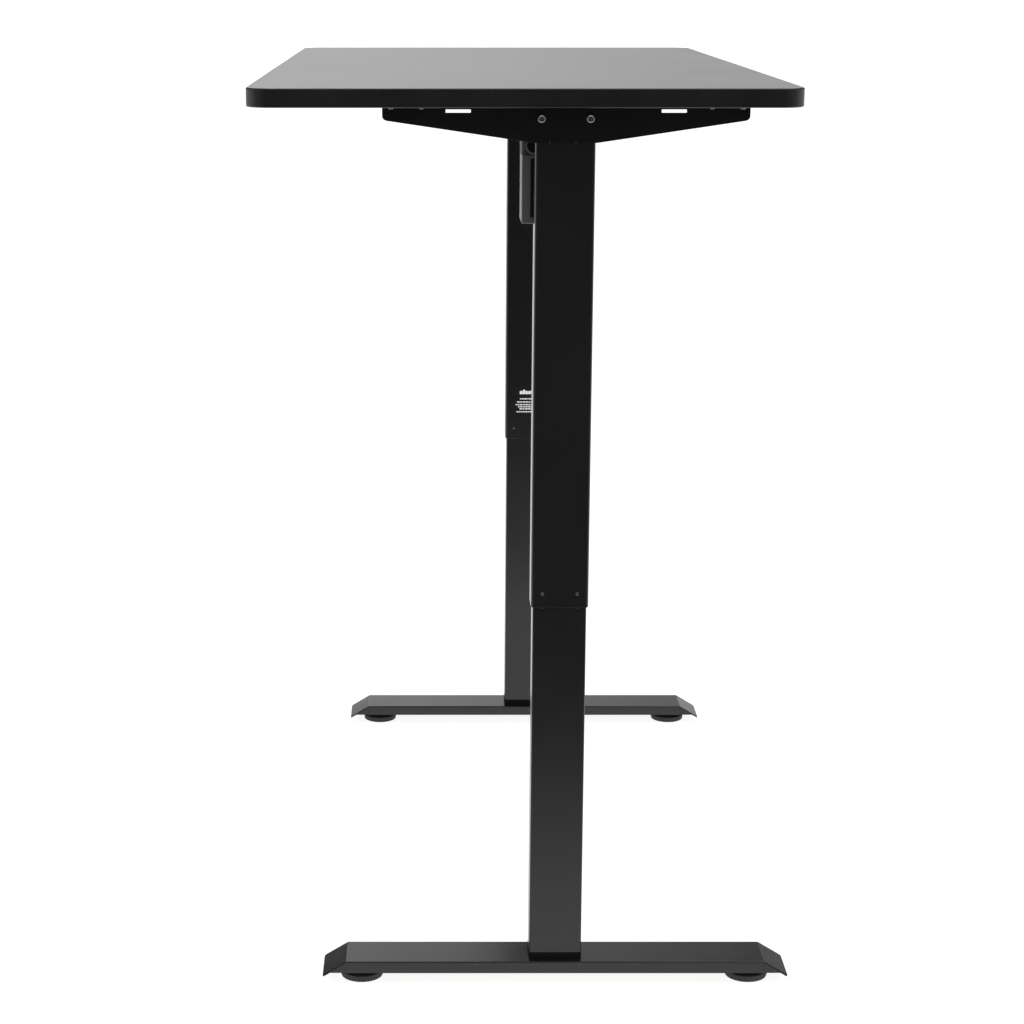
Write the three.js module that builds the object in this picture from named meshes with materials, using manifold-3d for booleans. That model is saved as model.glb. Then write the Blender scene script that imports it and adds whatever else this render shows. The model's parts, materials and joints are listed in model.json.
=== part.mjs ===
// Height adjustable standing desk: one motor, two telescoping legs, cross rails and a rectangular top.
// Millimetres, +Z up, X along the desk, the user sits on the -Y side, "right" is the +X end.
// The floor is z = 0. The desk is drawn fully raised.
import * as THREE from "three";
import { mergeVertices } from "three/addons/utils/BufferGeometryUtils.js";
import Module from "manifold-3d";

const wasm = await Module();
wasm.setup();

// Desktop
const deskLength = 1400;
const deskDepth = 700;
const deskThickness = 24;
const deskHeight = 1245;
const deskCornerRadius = 26;
const deskEdgeChamfer = 1.4;

// Legs
const legInset = 131;
const stroke = 500;
const outerTube = { width: 78, depth: 50, wall: 1.5, radius: 5 };
const tubeGap = 1;
const innerWall = 1.6;
const frameSetback = 56;
const outerTubeDrop = 698;
const tubeFootClearance = 6;
const playGap = 0.15;

// Feet
const footLength = 653;
const footWidth = 70;
const footHeight = 34;
const footLip = 33.5;
const footLipDrop = 20.5;
const footFlangeDepth = 17;
const footSheet = 2.5;
const padOffset = 272;
const padDiameter = 60;
const padHeight = 16;
const studDiameter = 8;

// Top frame
const bracketLength = 474;
const bracketHeight = 51;
const bracketEndHeight = 17;
const bracketSheet = 2.5;
const bracketFlange = 22;
const bracketBoltSpacing = 63;
const bracketBoltDrop = 19.5;
const bracketSlot = { offset: 139, length: 32.5, height: 4.2, radius: 0.4, drop: 10.2 };
const bracketScrewOffsets = [-225, -186, 186, 225];
const railSpacing = 170;
const railWidth = 34;
const railHeight = 28;
const railSheet = 2;
const headSheet = 2;
const gearboxHeight = 48;

// Drive
const screwDiameter = 16;
const screwPlay = 0.4;
const rodAcrossFlats = 8;
const rodDrop = 24;
const gearRadius = 13;
const motorSide = 70;
const motorBottomDrop = 161;
const motorSeamDrop = 71;
const motorOffset = 20;

// Controls
const controlBox = { length: 260, depth: 100, height: 34, wall: 2.5 };
const handset = { length: 110, depth: 60, height: 22, wall: 2, centreX: 250 };
const button = { width: 13, height: 8, travel: 1 };
const buttonPitch = 18;

// Places that follow from the sizes above
const underside = deskHeight - deskThickness;
const footOverhang = Math.max(footLength / 2 + frameSetback - deskDepth / 2, 0);
const deskY = -footOverhang / 2;
const frameY = deskY + frameSetback;
const columnX = deskLength / 2 - legInset;
const outerTubeBottom = deskHeight - outerTubeDrop;
const outerTubeTop = underside - gearboxHeight;
const innerTube = {
  width: outerTube.width - 2 * (outerTube.wall + tubeGap),
  depth: outerTube.depth - 2 * (outerTube.wall + tubeGap),
  wall: innerWall,
  radius: outerTube.radius - outerTube.wall - tubeGap,
};
const innerTubeTop = outerTubeTop - stroke - tubeFootClearance - 4;
const screwBottom = footHeight + stroke + 40;
const rodZ = underside - rodDrop;
const halfColumn = outerTube.depth / 2;
const gearCaseInner = -halfColumn - 28;
const headInner = -halfColumn - 78;

const AXES = {
  x: [new THREE.Vector3(0, 1, 0), new THREE.Vector3(0, 0, 1), new THREE.Vector3(1, 0, 0)],
  y: [new THREE.Vector3(0, 0, 1), new THREE.Vector3(1, 0, 0), new THREE.Vector3(0, 1, 0)],
  z: [new THREE.Vector3(1, 0, 0), new THREE.Vector3(0, 1, 0), new THREE.Vector3(0, 0, 1)],
};

// A closed shape through the given corners.
function polygon(points) {
  return new THREE.Shape(points.map(([a, b]) => new THREE.Vector2(a, b)));
}

// A path of a rectangle with rounded corners, centred on (a, b).
function roundedRect(width, height, radius, a = 0, b = 0, Kind = THREE.Shape) {
  const path = new Kind();
  const w = width / 2;
  const h = height / 2;
  const r = Math.min(radius, w - 0.01, h - 0.01);
  path.moveTo(a - w + r, b - h);
  path.lineTo(a + w - r, b - h);
  path.absarc(a + w - r, b - h + r, r, -Math.PI / 2, 0, false);
  path.lineTo(a + w, b + h - r);
  path.absarc(a + w - r, b + h - r, r, 0, Math.PI / 2, false);
  path.lineTo(a - w + r, b + h);
  path.absarc(a - w + r, b + h - r, r, Math.PI / 2, Math.PI, false);
  path.lineTo(a - w, b - h + r);
  path.absarc(a - w + r, b - h + r, r, Math.PI, 1.5 * Math.PI, false);
  return path;
}

function circle(radius, a = 0, b = 0, Kind = THREE.Shape) {
  const sides = radius > 10 ? 32 : radius > 4 ? 16 : 12;
  const points = Array.from({ length: sides }, (_, i) => {
    const angle = (2 * Math.PI * i) / sides;
    return new THREE.Vector2(a + radius * Math.cos(angle), b + radius * Math.sin(angle));
  });
  return new Kind(points);
}

// A shape pushed along one axis: shape axes are (y, z) for x, (z, x) for y and (x, y) for z.
function extrude(shape, axis, from, to, segments = 2) {
  const geometry = new THREE.ExtrudeGeometry(shape, {
    depth: to - from,
    bevelEnabled: false,
    curveSegments: segments,
  });
  geometry.applyMatrix4(new THREE.Matrix4().makeBasis(...AXES[axis]));
  geometry.translate(axis === "x" ? from : 0, axis === "y" ? from : 0, axis === "z" ? from : 0);
  return geometry;
}

// A box given by its two opposite corners.
function block(low, high) {
  const geometry = new THREE.BoxGeometry(high[0] - low[0], high[1] - low[1], high[2] - low[2]);
  geometry.translate((low[0] + high[0]) / 2, (low[1] + high[1]) / 2, (low[2] + high[2]) / 2);
  return geometry;
}

function solidOf(geometry) {
  const bare = geometry.clone();
  bare.deleteAttribute("normal");
  bare.deleteAttribute("uv");
  const merged = mergeVertices(bare, 1e-4);
  const mesh = new wasm.Mesh({
    numProp: 3,
    vertProperties: new Float32Array(merged.attributes.position.array),
    triVerts: new Uint32Array(merged.index.array),
  });
  return new wasm.Manifold(mesh);
}

function geometryOf(solid) {
  const mesh = solid.getMesh();
  const geometry = new THREE.BufferGeometry();
  geometry.setAttribute("position", new THREE.BufferAttribute(new Float32Array(mesh.vertProperties), 3));
  geometry.setIndex(new THREE.BufferAttribute(new Uint32Array(mesh.triVerts), 1));
  return geometry;
}

// The first list of pieces joined into one, less the second list.
function carve(added, removed = []) {
  let solid = solidOf(added[0]);
  for (const geometry of added.slice(1)) {
    solid = solid.add(solidOf(geometry));
  }
  for (const geometry of removed) {
    solid = solid.subtract(solidOf(geometry));
  }
  return geometryOf(solid);
}

const desk = new THREE.Group();
desk.name = "standing_desk";

function add(name, geometry, color, metalness, roughness) {
  const clean = geometry.clone();
  clean.computeVertexNormals();
  const mesh = new THREE.Mesh(clean, new THREE.MeshStandardMaterial({ color, metalness, roughness }));
  mesh.name = name;
  desk.add(mesh);
}

const steel = [0x1c1c1d, 0.3, 0.45];
const bright = [0xb4b6b8, 1, 0.3];
const casting = [0x232425, 0.6, 0.55];
const plastic = [0x18181a, 0, 0.5];
const bronze = [0xa98a52, 0, 0.5];

// A leg is drawn about its own axis with +X pointing outward, then put at its end of the desk.
const SIDES = [
  { name: "right", x: columnX, turn: 0 },
  { name: "left", x: -columnX, turn: Math.PI },
];

function addToLeg(side, name, geometry, look) {
  const placed = geometry.clone();
  placed.rotateZ(side.turn);
  placed.translate(side.x, frameY, 0);
  add(`${name}_${side.name}`, placed, ...look);
}

// Desktop: rounded vertical corners and a fine chamfer round both faces.
function desktopBoard() {
  const inset = 2 * deskEdgeChamfer;
  const outline = roundedRect(deskLength - inset, deskDepth - inset, deskCornerRadius - deskEdgeChamfer);
  const board = new THREE.ExtrudeGeometry(outline, {
    depth: deskThickness - inset,
    bevelEnabled: true,
    bevelSize: deskEdgeChamfer,
    bevelThickness: deskEdgeChamfer,
    bevelSegments: 1,
    curveSegments: 5,
  });
  board.translate(0, deskY, underside + deskEdgeChamfer);
  return board;
}

// Side bracket: a tapered web against the leg head with a flange turned outward under the desktop.
function sideBracket() {
  const half = bracketLength / 2;
  const low = underside - bracketHeight;
  const end = underside - bracketEndHeight;
  const profile = polygon([
    [-half, underside], [-half, end], [-half + 2, end - 3.5], [-half + 8, end - 6],
    [-outerTube.width / 2, low], [outerTube.width / 2, low],
    [half - 8, end - 6], [half - 2, end - 3.5], [half, end], [half, underside],
  ]);
  for (const sign of [-1, 1]) {
    const { offset, length, height, radius, drop } = bracketSlot;
    profile.holes.push(
      roundedRect(length, height, radius, sign * offset, underside - drop, THREE.Path),
    );
    profile.holes.push(
      circle(3.3, (sign * bracketBoltSpacing) / 2, underside - bracketBoltDrop, THREE.Path),
    );
  }
  const web = extrude(profile, "x", halfColumn, halfColumn + bracketSheet);
  const lip = halfColumn + bracketSheet + bracketFlange;
  const flangeOutline = polygon([
    [halfColumn, -half], [lip - 6, -half], [lip, -half + 6], [lip, half - 6], [lip - 6, half],
    [halfColumn, half],
  ]);
  for (const y of bracketScrewOffsets) {
    flangeOutline.holes.push(circle(2.6, halfColumn + 14.5, y, THREE.Path));
  }
  const flange = extrude(flangeOutline, "z", underside - bracketSheet, underside);
  return carve([web, flange]);
}

// Button head bolt with a hexagon socket, screwed through the bracket into the gearbox.
function bracketBolt(y) {
  const face = halfColumn + bracketSheet;
  const profile = [
    [0, -14], [3, -14], [3, 0], [5.25, 0], [5.25, 0.6], [4.6, 2.1], [3.2, 3.1], [0, 3.1],
  ].map(([r, h]) => new THREE.Vector2(r, h));
  const bolt = new THREE.LatheGeometry(profile, 14);
  const socket = new THREE.CylinderGeometry(2.3, 2.3, 2, 6);
  socket.translate(0, 2.4, 0);
  const geometry = carve([bolt], [socket]);
  geometry.rotateZ(-Math.PI / 2);
  geometry.translate(face, y, underside - bracketBoltDrop);
  return geometry;
}

// Leg head: a plate under the desktop with a turned-down edge outside each rail.
function legHead() {
  const reach = railSpacing / 2 + railWidth / 2 + 4;
  const plate = block([headInner, -reach, underside - headSheet], [halfColumn - playGap, reach, underside]);
  const lips = [-1, 1].map((sign) => {
    const face = sign * reach;
    const low = [headInner, Math.min(face, face - sign * headSheet), underside - railHeight];
    const high = [-halfColumn - 2, Math.max(face, face - sign * headSheet), underside - headSheet / 2];
    return block(low, high);
  });
  const holes = [-1, 1].map((sign) =>
    extrude(circle(3, headInner + 14, sign * 42), "z", underside - headSheet - 1, underside + 1));
  return carve([plate, ...lips], holes);
}

// Bevel gear case on top of each column, open below where the column begins.
function gearCase() {
  const top = underside - headSheet - playGap;
  const bottom = outerTubeTop;
  const outline = roundedRect(
    halfColumn - gearCaseInner, outerTube.width, 4, (halfColumn + gearCaseInner) / 2,
  );
  const body = extrude(outline, "z", bottom, top);
  const chamber = block([-30, -24, rodZ - gearRadius - 2], [18, 24, top - 4]);
  const seat = extrude(circle(18), "z", bottom - 1, rodZ);
  const rodBore = extrude(circle(5.3, 0, rodZ), "x", -60, 0);
  const boltBores = [-1, 1].map((sign) =>
    extrude(
      circle(3.2, (sign * bracketBoltSpacing) / 2, underside - bracketBoltDrop), "x",
      halfColumn - 13, halfColumn + 1,
    ));
  return carve([body], [chamber, seat, rodBore, ...boltBores]);
}

function outerColumn() {
  const { width, depth, wall, radius } = outerTube;
  const outline = roundedRect(depth, width, radius);
  outline.holes.push(roundedRect(depth - 2 * wall, width - 2 * wall, radius - wall, 0, 0, THREE.Path));
  return extrude(outline, "z", outerTubeBottom, outerTubeTop);
}

function innerColumn() {
  const { width, depth, wall, radius } = innerTube;
  const outline = roundedRect(depth, width, radius);
  outline.holes.push(roundedRect(depth - 2 * wall, width - 2 * wall, radius - wall, 0, 0, THREE.Path));
  return extrude(outline, "z", footHeight, innerTubeTop);
}

// Plastic sleeve between the two tubes.
function glide(bottom, height) {
  const gap = tubeGap * playGap;
  const outline = roundedRect(
    innerTube.depth + 2 * (tubeGap - gap), innerTube.width + 2 * (tubeGap - gap), outerTube.radius - 1.6,
  );
  outline.holes.push(
    roundedRect(innerTube.depth + 2 * gap, innerTube.width + 2 * gap, innerTube.radius, 0, 0, THREE.Path),
  );
  return extrude(outline, "z", bottom, bottom + height);
}

// Lead screw hanging from the bevel gear, stepped where it passes the bearing.
function leadScrew() {
  const r = screwDiameter / 2;
  const top = rodZ - gearRadius + 5;
  const shoulder = outerTubeTop - 2;
  const profile = [
    [0, screwBottom], [r - 1.5, screwBottom], [r, screwBottom + 2], [r, shoulder], [6, shoulder],
    [6, top - 1], [5.4, top], [0, top],
  ].map(([radius, height]) => new THREE.Vector2(radius, height));
  const geometry = new THREE.LatheGeometry(profile, 20);
  geometry.rotateX(Math.PI / 2);
  return geometry;
}

// Toothed cone with its point at the crossing of the two shafts, big end `reach` below it.
function bevelGear(reach, thickness, bore, boreSides, phase) {
  const teeth = 12;
  const outline = new THREE.Shape();
  for (let i = 0; i < teeth * 4; i++) {
    const angle = ((i - 0.5) * Math.PI) / (teeth * 2);
    const radius = i % 4 < 2 ? reach - 0.6 : reach - 3;
    const x = radius * Math.cos(angle);
    const y = radius * Math.sin(angle);
    if (i === 0) {
      outline.moveTo(x, y);
    } else {
      outline.lineTo(x, y);
    }
  }
  const gear = extrude(outline, "z", -reach, -reach + thickness);
  const position = gear.attributes.position;
  for (let i = 0; i < position.count; i++) {
    const scale = Math.abs(position.getZ(i)) / reach;
    position.setX(i, position.getX(i) * scale);
    position.setY(i, position.getY(i) * scale);
  }
  gear.rotateZ(phase);
  const hole = new THREE.CylinderGeometry(bore, bore, 60, boreSides);
  hole.rotateX(Math.PI / 2);
  return carve([gear], [hole]);
}

// Ball bearing ring that carries the screw in the bottom of the gear case.
function bearing() {
  const outline = circle(17.8);
  outline.holes.push(circle(6.15, 0, 0, THREE.Path));
  return extrude(outline, "z", outerTubeTop, outerTubeTop + 7.5);
}

// Moulded nut fixed in the top of the lower tube.
function leadNut() {
  const { width, depth, wall } = innerTube;
  const outline = roundedRect(
    depth - 2 * wall - 2 * playGap, width - 2 * wall - 2 * playGap, innerTube.radius,
  );
  outline.holes.push(circle(screwDiameter / 2 + screwPlay, 0, 0, THREE.Path));
  return extrude(outline, "z", innerTubeTop - 44, innerTubeTop - 2);
}

// Foot: sheet folded down along both sides with a sloping lip at each end and a nut for each stud.
function footBeam() {
  const half = footLength / 2;
  const flat = half - footLip;
  const tip = footHeight - footLipDrop;
  const rise = footLipDrop / footLip;
  const flangeLow = footHeight - footFlangeDepth;
  const flangeEnd = half - (flangeLow - tip + footSheet) / rise;
  const side = polygon([
    [-half, tip], [-half, tip - footSheet], [-flangeEnd, flangeLow], [flangeEnd, flangeLow],
    [half, tip - footSheet], [half, tip], [flat, footHeight], [-flat, footHeight],
  ]);
  const hollow = polygon([
    [-half - 10, tip - footSheet - 10 * rise], [-flat, footHeight - footSheet],
    [flat, footHeight - footSheet], [half + 10, tip - footSheet - 10 * rise],
    [half + 10, -40], [-half - 10, -40],
  ]);
  const outside = extrude(side, "x", -footWidth / 2, footWidth / 2);
  const inside = extrude(hollow, "x", -footWidth / 2 + footSheet, footWidth / 2 - footSheet);
  const channel = carve([outside], [inside]);
  const nuts = [-1, 1].map((sign) =>
    extrude(circle(8, 0, sign * padOffset), "z", footHeight - footSheet - 9, footHeight - 1));
  const bores = [-1, 1].map((sign) =>
    extrude(
      circle(studDiameter / 2 + playGap, 0, sign * padOffset), "z", 0, footHeight - footSheet,
    ));
  return carve([channel, ...nuts], bores);
}

// Levelling stud and its round pad.
function levelStud() {
  const outline = circle(studDiameter / 2);
  return extrude(outline, "z", 5 + playGap, footHeight - footSheet - playGap);
}

function levelPad() {
  const r = padDiameter / 2;
  const bore = studDiameter / 2 + playGap;
  const profile = [
    [0, 0], [r - 2, 0], [r, 1.5], [r, 8], [r - 2, 10], [r - 12, 11.5], [9, padHeight],
    [bore, padHeight], [bore, 5], [0, 5],
  ].map(([radius, height]) => new THREE.Vector2(radius, height));
  const geometry = new THREE.LatheGeometry(profile, 24);
  geometry.rotateX(Math.PI / 2);
  return geometry;
}

// Channel section open downward, down to the rail height below the desktop.
function railProfile(centreY, top, width) {
  const out = width / 2;
  const inn = out - railSheet;
  const low = underside - railHeight;
  const corners = [
    [-out, top], [-out, low], [-inn, low], [-inn, top - railSheet],
    [inn, top - railSheet], [inn, low], [out, low], [out, top],
  ];
  return polygon(corners.map(([y, z]) => [centreY + y, z]));
}

add("desktop", desktopBoard(), 0x1a1a1b, 0, 0.4);

for (const side of SIDES) {
  addToLeg(side, "side_bracket", sideBracket(), steel);
  addToLeg(side, "bracket_bolt_front", bracketBolt((-Math.cos(side.turn) * bracketBoltSpacing) / 2), bright);
  addToLeg(side, "bracket_bolt_rear", bracketBolt((Math.cos(side.turn) * bracketBoltSpacing) / 2), bright);
  addToLeg(side, "leg_head", legHead(), steel);
  addToLeg(side, "gear_case", gearCase(), casting);
  addToLeg(side, "outer_tube", outerColumn(), steel);
  addToLeg(side, "inner_tube", innerColumn(), steel);
  addToLeg(side, "lower_glide", glide(outerTubeBottom - 1, 60), plastic);
  addToLeg(side, "upper_glide", glide(innerTubeTop - 55, 50), plastic);
  addToLeg(side, "lead_screw", leadScrew(), bright);
  addToLeg(side, "screw_bearing", bearing(), bright);
  addToLeg(side, "lead_nut", leadNut(), bronze);
  addToLeg(side, "foot_beam", footBeam(), steel);

  const screwGear = bevelGear(gearRadius, 6, 6.15, 16, 0);
  screwGear.translate(0, 0, rodZ);
  addToLeg(side, "screw_gear", screwGear, bright);

  const rodBore = rodAcrossFlats / Math.sqrt(3) + playGap;
  const rodGear = bevelGear(gearRadius, 6, rodBore, 6, Math.PI / 12);
  rodGear.rotateY(Math.PI / 2);
  rodGear.translate(0, 0, rodZ);
  addToLeg(side, "rod_gear", rodGear, bright);

  for (const end of ["front", "rear"]) {
    const towards = (end === "front" ? -1 : 1) * Math.cos(side.turn) * padOffset;
    const stud = levelStud();
    stud.translate(0, towards, 0);
    addToLeg(side, `level_stud_${end}`, stud, bright);
    const pad = levelPad();
    pad.translate(0, towards, 0);
    addToLeg(side, `level_pad_${end}`, pad, plastic);
  }
}

// Cross rails: a centre channel over an end channel at each leg, front and rear.
const railReach = columnX + headInner;
for (const [end, sign] of [["front", -1], ["rear", 1]]) {
  const y = frameY + (sign * railSpacing) / 2;
  const centre = railProfile(y, underside, railWidth);
  add(`centre_rail_${end}`, extrude(centre, "x", 0.3 - railReach, railReach - 0.3), ...steel);
  const width = railWidth - 2 * (railSheet + 0.3);
  const inner = railProfile(y, underside - railSheet - 0.3, width);
  for (const side of SIDES) {
    const out = columnX - halfColumn - 4;
    const inboard = railReach - 110;
    const range = side.turn === 0 ? [inboard, out] : [-out, -inboard];
    add(`end_rail_${end}_${side.name}`, extrude(inner, "x", ...range), ...steel);
  }
}

// Hexagonal rod that carries the drive from one leg to the other.
const rod = new THREE.CylinderGeometry(
  rodAcrossFlats / Math.sqrt(3), rodAcrossFlats / Math.sqrt(3), 2 * (columnX - 7.5), 6,
);
rod.rotateZ(-Math.PI / 2);
rod.rotateX(Math.PI / 6);
rod.translate(0, frameY, rodZ);
add("drive_rod", rod, ...bright);

// Motor on the inner side of the right leg: worm case, steel can and a plastic cover round it.
const motorInner = -halfColumn - 2 - motorSide;
const motorY = -motorOffset;
const motorX = motorInner + motorSide / 2;

function wormCase() {
  const high = underside - headSheet - 8;
  const seam = underside - motorSeamDrop;
  const outer = motorY - motorSide / 2;
  const upper = block([motorInner, outer, seam + 10], [gearCaseInner - 0.3, 30, high]);
  const lower = extrude(
    roundedRect(motorSide, motorSide, 8, motorX, motorY), "z", seam, outerTubeTop - 0.3, 3,
  );
  const boss = extrude(circle(11, -36, seam + 11.5), "x", -halfColumn - 3, -halfColumn - 0.5);
  const bore = extrude(circle(6, 0, rodZ), "x", motorInner - 5, 0);
  return carve([upper, lower, boss], [bore]);
}

function motorCan() {
  const outline = circle(30, motorX, motorY);
  const top = underside - motorSeamDrop - 0.1;
  return extrude(outline, "z", underside - motorBottomDrop + 9, top);
}

function motorCover() {
  const bottom = underside - motorBottomDrop;
  const seam = underside - motorSeamDrop - 0.1;
  const wall = 2.2;
  const round = 2.5;
  const outline = roundedRect(motorSide - 2 * round, motorSide - 2 * round, 8, motorX, motorY);
  const outer = new THREE.ExtrudeGeometry(outline, {
    depth: seam - bottom,
    bevelEnabled: true,
    bevelSize: round,
    bevelThickness: round,
    bevelSegments: 2,
    curveSegments: 3,
  });
  outer.translate(0, 0, bottom + round);
  const mouth = block([-400, -400, seam], [400, 400, seam + 400]);
  const inner = extrude(
    roundedRect(motorSide - 2 * wall, motorSide - 2 * wall, 8, motorX, motorY), "z",
    bottom + 3, seam + 1, 3,
  );
  return carve([outer], [inner, mouth]);
}

addToLeg(SIDES[0], "worm_case", wormCase(), casting);
addToLeg(SIDES[0], "motor_can", motorCan(), bright);
addToLeg(SIDES[0], "motor_cover", motorCover(), plastic);

// Control box under the desktop, in front of the rails, with its sockets on the left end.
const boxX = -30;
const boxY = frameY - railSpacing / 2 - railWidth / 2 - 14 - controlBox.depth / 2;

function controlShell() {
  const { length, depth, height, wall } = controlBox;
  const low = underside - height;
  const high = underside - 3 - 0.1;
  const outer = extrude(roundedRect(length, depth, 6, boxX, boxY), "z", low, high);
  const inner = extrude(
    roundedRect(length - 2 * wall, depth - 2 * wall, 4, boxX, boxY), "z", low + wall, high + 1,
  );
  const windows = [[-32, 24, 17], [-4, 15, 11], [15, 15, 11], [34, 15, 11]].map(([y, width, tall]) =>
    block(
      [boxX - length / 2 - 1, boxY + y - width / 2, low + 6],
      [boxX - length / 2 + wall + 1, boxY + y + width / 2, low + 6 + tall],
    ));
  return carve([outer], [inner, ...windows]);
}

function controlLid() {
  const outline = roundedRect(controlBox.length + 24, controlBox.depth, 6, boxX, boxY);
  for (const sign of [-1, 1]) {
    const x = boxX + sign * (controlBox.length / 2 + 6);
    outline.holes.push(circle(2.2, x, boxY, THREE.Path));
  }
  return extrude(outline, "z", underside - 3, underside);
}

add("control_shell", controlShell(), ...plastic);
add("control_lid", controlLid(), ...steel);

// Handset under the front edge: a shell open to the front, a face plate and five push buttons.
const handsetFront = deskY - deskDepth / 2 + 3;
const faceSheet = 2.5;
const handsetZ = underside - handset.height / 2;

function handsetShell() {
  const { length, depth, height, wall, centreX } = handset;
  const outer = extrude(
    roundedRect(height, length, 4, handsetZ, centreX), "y",
    handsetFront + faceSheet + 0.1, handsetFront + depth,
  );
  const inner = extrude(
    roundedRect(height - 2 * wall, length - 2 * wall, 2.5, handsetZ, centreX), "y",
    handsetFront, handsetFront + depth - wall,
  );
  const socket = extrude(
    circle(4.5, handsetZ, centreX), "y", handsetFront + depth - wall - 1, handsetFront + depth + 1,
  );
  return carve([outer], [inner, socket]);
}

const BUTTONS = ["up", "down", "memory_1", "memory_2", "memory_3"];

function buttonX(index) {
  return handset.centreX + (index - (BUTTONS.length - 1) / 2) * buttonPitch;
}

function handsetFace() {
  const outline = roundedRect(handset.height, handset.length, 4, handsetZ, handset.centreX);
  BUTTONS.forEach((_, index) => {
    outline.holes.push(
      roundedRect(button.height + 0.6, button.width + 0.6, 2.2, handsetZ, buttonX(index), THREE.Path),
    );
  });
  return extrude(outline, "y", handsetFront, handsetFront + faceSheet);
}

function pushButton(index) {
  const x = buttonX(index);
  const back = handsetFront + faceSheet + 0.2;
  const cap = extrude(
    roundedRect(button.height, button.width, 2, handsetZ, x), "y", handsetFront - 1.3, back + 0.5,
  );
  const collar = extrude(
    roundedRect(button.height + 2.4, button.width + 2.4, 2, handsetZ, x), "y", back, back + 1.2,
  );
  return carve([cap, collar]);
}

add("handset_shell", handsetShell(), ...plastic);
add("handset_face", handsetFace(), ...plastic);
BUTTONS.forEach((name, index) => add(`button_${name}`, pushButton(index), ...plastic));

// Rating plate on the outward-looking side of the left leg that faces the right leg.
const plate = extrude(
  roundedRect(55, 53, 1.5, 0, deskHeight - 627), "x", -halfColumn - 0.25, -halfColumn,
);
addToLeg(SIDES[1], "rating_plate", plate, [0x141415, 0, 0.4]);

export default desk;
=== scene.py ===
"""Height adjustable standing desk: detailed pieces, finishes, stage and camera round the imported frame."""

import json
import math

import bmesh
import bpy
from bpy.props import FloatProperty, IntProperty, PointerProperty, StringProperty
from mathutils import Matrix, Vector


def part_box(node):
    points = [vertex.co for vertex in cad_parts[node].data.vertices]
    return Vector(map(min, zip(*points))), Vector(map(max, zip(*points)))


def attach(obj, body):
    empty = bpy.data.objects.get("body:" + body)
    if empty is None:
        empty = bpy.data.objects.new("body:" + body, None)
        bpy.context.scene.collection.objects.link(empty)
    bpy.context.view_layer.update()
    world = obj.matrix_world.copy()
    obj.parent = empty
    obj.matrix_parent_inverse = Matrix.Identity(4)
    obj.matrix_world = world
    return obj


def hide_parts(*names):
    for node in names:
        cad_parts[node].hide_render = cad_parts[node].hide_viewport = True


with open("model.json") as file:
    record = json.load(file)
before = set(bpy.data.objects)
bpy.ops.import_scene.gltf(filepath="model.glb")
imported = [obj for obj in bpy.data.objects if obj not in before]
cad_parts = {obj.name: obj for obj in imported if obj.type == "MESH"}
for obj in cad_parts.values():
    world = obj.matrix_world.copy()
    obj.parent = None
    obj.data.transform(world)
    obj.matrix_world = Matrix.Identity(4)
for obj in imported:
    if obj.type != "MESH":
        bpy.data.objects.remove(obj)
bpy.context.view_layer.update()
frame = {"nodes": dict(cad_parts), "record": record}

bl_info = {
    "name": "Standing Desk Builder",
    "version": (1, 0, 0),
    "blender": (4, 5, 0),
    "location": "3D View > Sidebar > Standing Desk",
    "description": "Builds the detailed pieces, finishes and stage of a height adjustable standing desk",
    "category": "Object",
}

MM = 0.001
SIDES = ("right", "left")
ENDS = ("front", "rear")
TURN = {"right": 0.0, "left": math.pi}
BASE_OF = {"right": "right_base", "left": "left_base"}


# ---------------------------------------------------------------- settings


class BoardSettings(bpy.types.PropertyGroup):
    """Sizes and colours of the desktop board."""

    corner_radius: FloatProperty(
        name="Corner radius", description="Radius of the board's vertical corners",
        default=32 * MM, unit="LENGTH",
    )
    edge_round: FloatProperty(
        name="Edge rounding", description="Radius where the edge band meets the faces",
        default=1.8 * MM, unit="LENGTH",
    )
    band_depth: FloatProperty(
        name="Band depth", description="How far the edge band turns in over the faces",
        default=2.0 * MM, unit="LENGTH",
    )
    laminate: StringProperty(name="Laminate", description="Colour of the melamine face", default="1b1b1b")
    band: StringProperty(name="Edge band", description="Colour of the edge band", default="121213")


class SteelSettings(bpy.types.PropertyGroup):
    """Sheet and tube sizes and the colour of the coated steel."""

    bracket_sheet: FloatProperty(
        name="Bracket sheet", description="Thickness of the side bracket", default=2.5 * MM, unit="LENGTH",
    )
    foot_sheet: FloatProperty(
        name="Foot sheet", description="Thickness of the foot's sheet", default=2.5 * MM, unit="LENGTH",
    )
    bend_radius: FloatProperty(
        name="Bend radius", description="Outer radius of the folds", default=3.2 * MM, unit="LENGTH",
    )
    foot_bend: FloatProperty(
        name="Foot bend", description="Outer radius of the foot's folds", default=1.6 * MM, unit="LENGTH",
    )
    tube_wall: FloatProperty(
        name="Tube wall", description="Wall of the wide column tube", default=1.5 * MM, unit="LENGTH",
    )
    tube_radius: FloatProperty(
        name="Tube corner", description="Outer corner radius of the wide tube", default=5 * MM, unit="LENGTH",
    )
    coat: StringProperty(name="Powder coat", description="Colour of the coated steel", default="111112")


class FittingSettings(bpy.types.PropertyGroup):
    """Sizes and colours of screws, pads and mouldings."""

    rib_count: IntProperty(name="Pad ribs", description="Grip ribs round a levelling pad", default=40, min=12)
    bolt_head: FloatProperty(
        name="Bolt head", description="Diameter of a bracket bolt's head", default=11.2 * MM, unit="LENGTH",
    )
    plating: StringProperty(name="Plating", description="Colour of plated screws", default="b9bbbd")
    moulding: StringProperty(name="Mouldings", description="Colour of moulded plastic", default="171718")
    ink: StringProperty(name="Ink", description="Colour of the print on the plate", default="e4e4e2")


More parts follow.
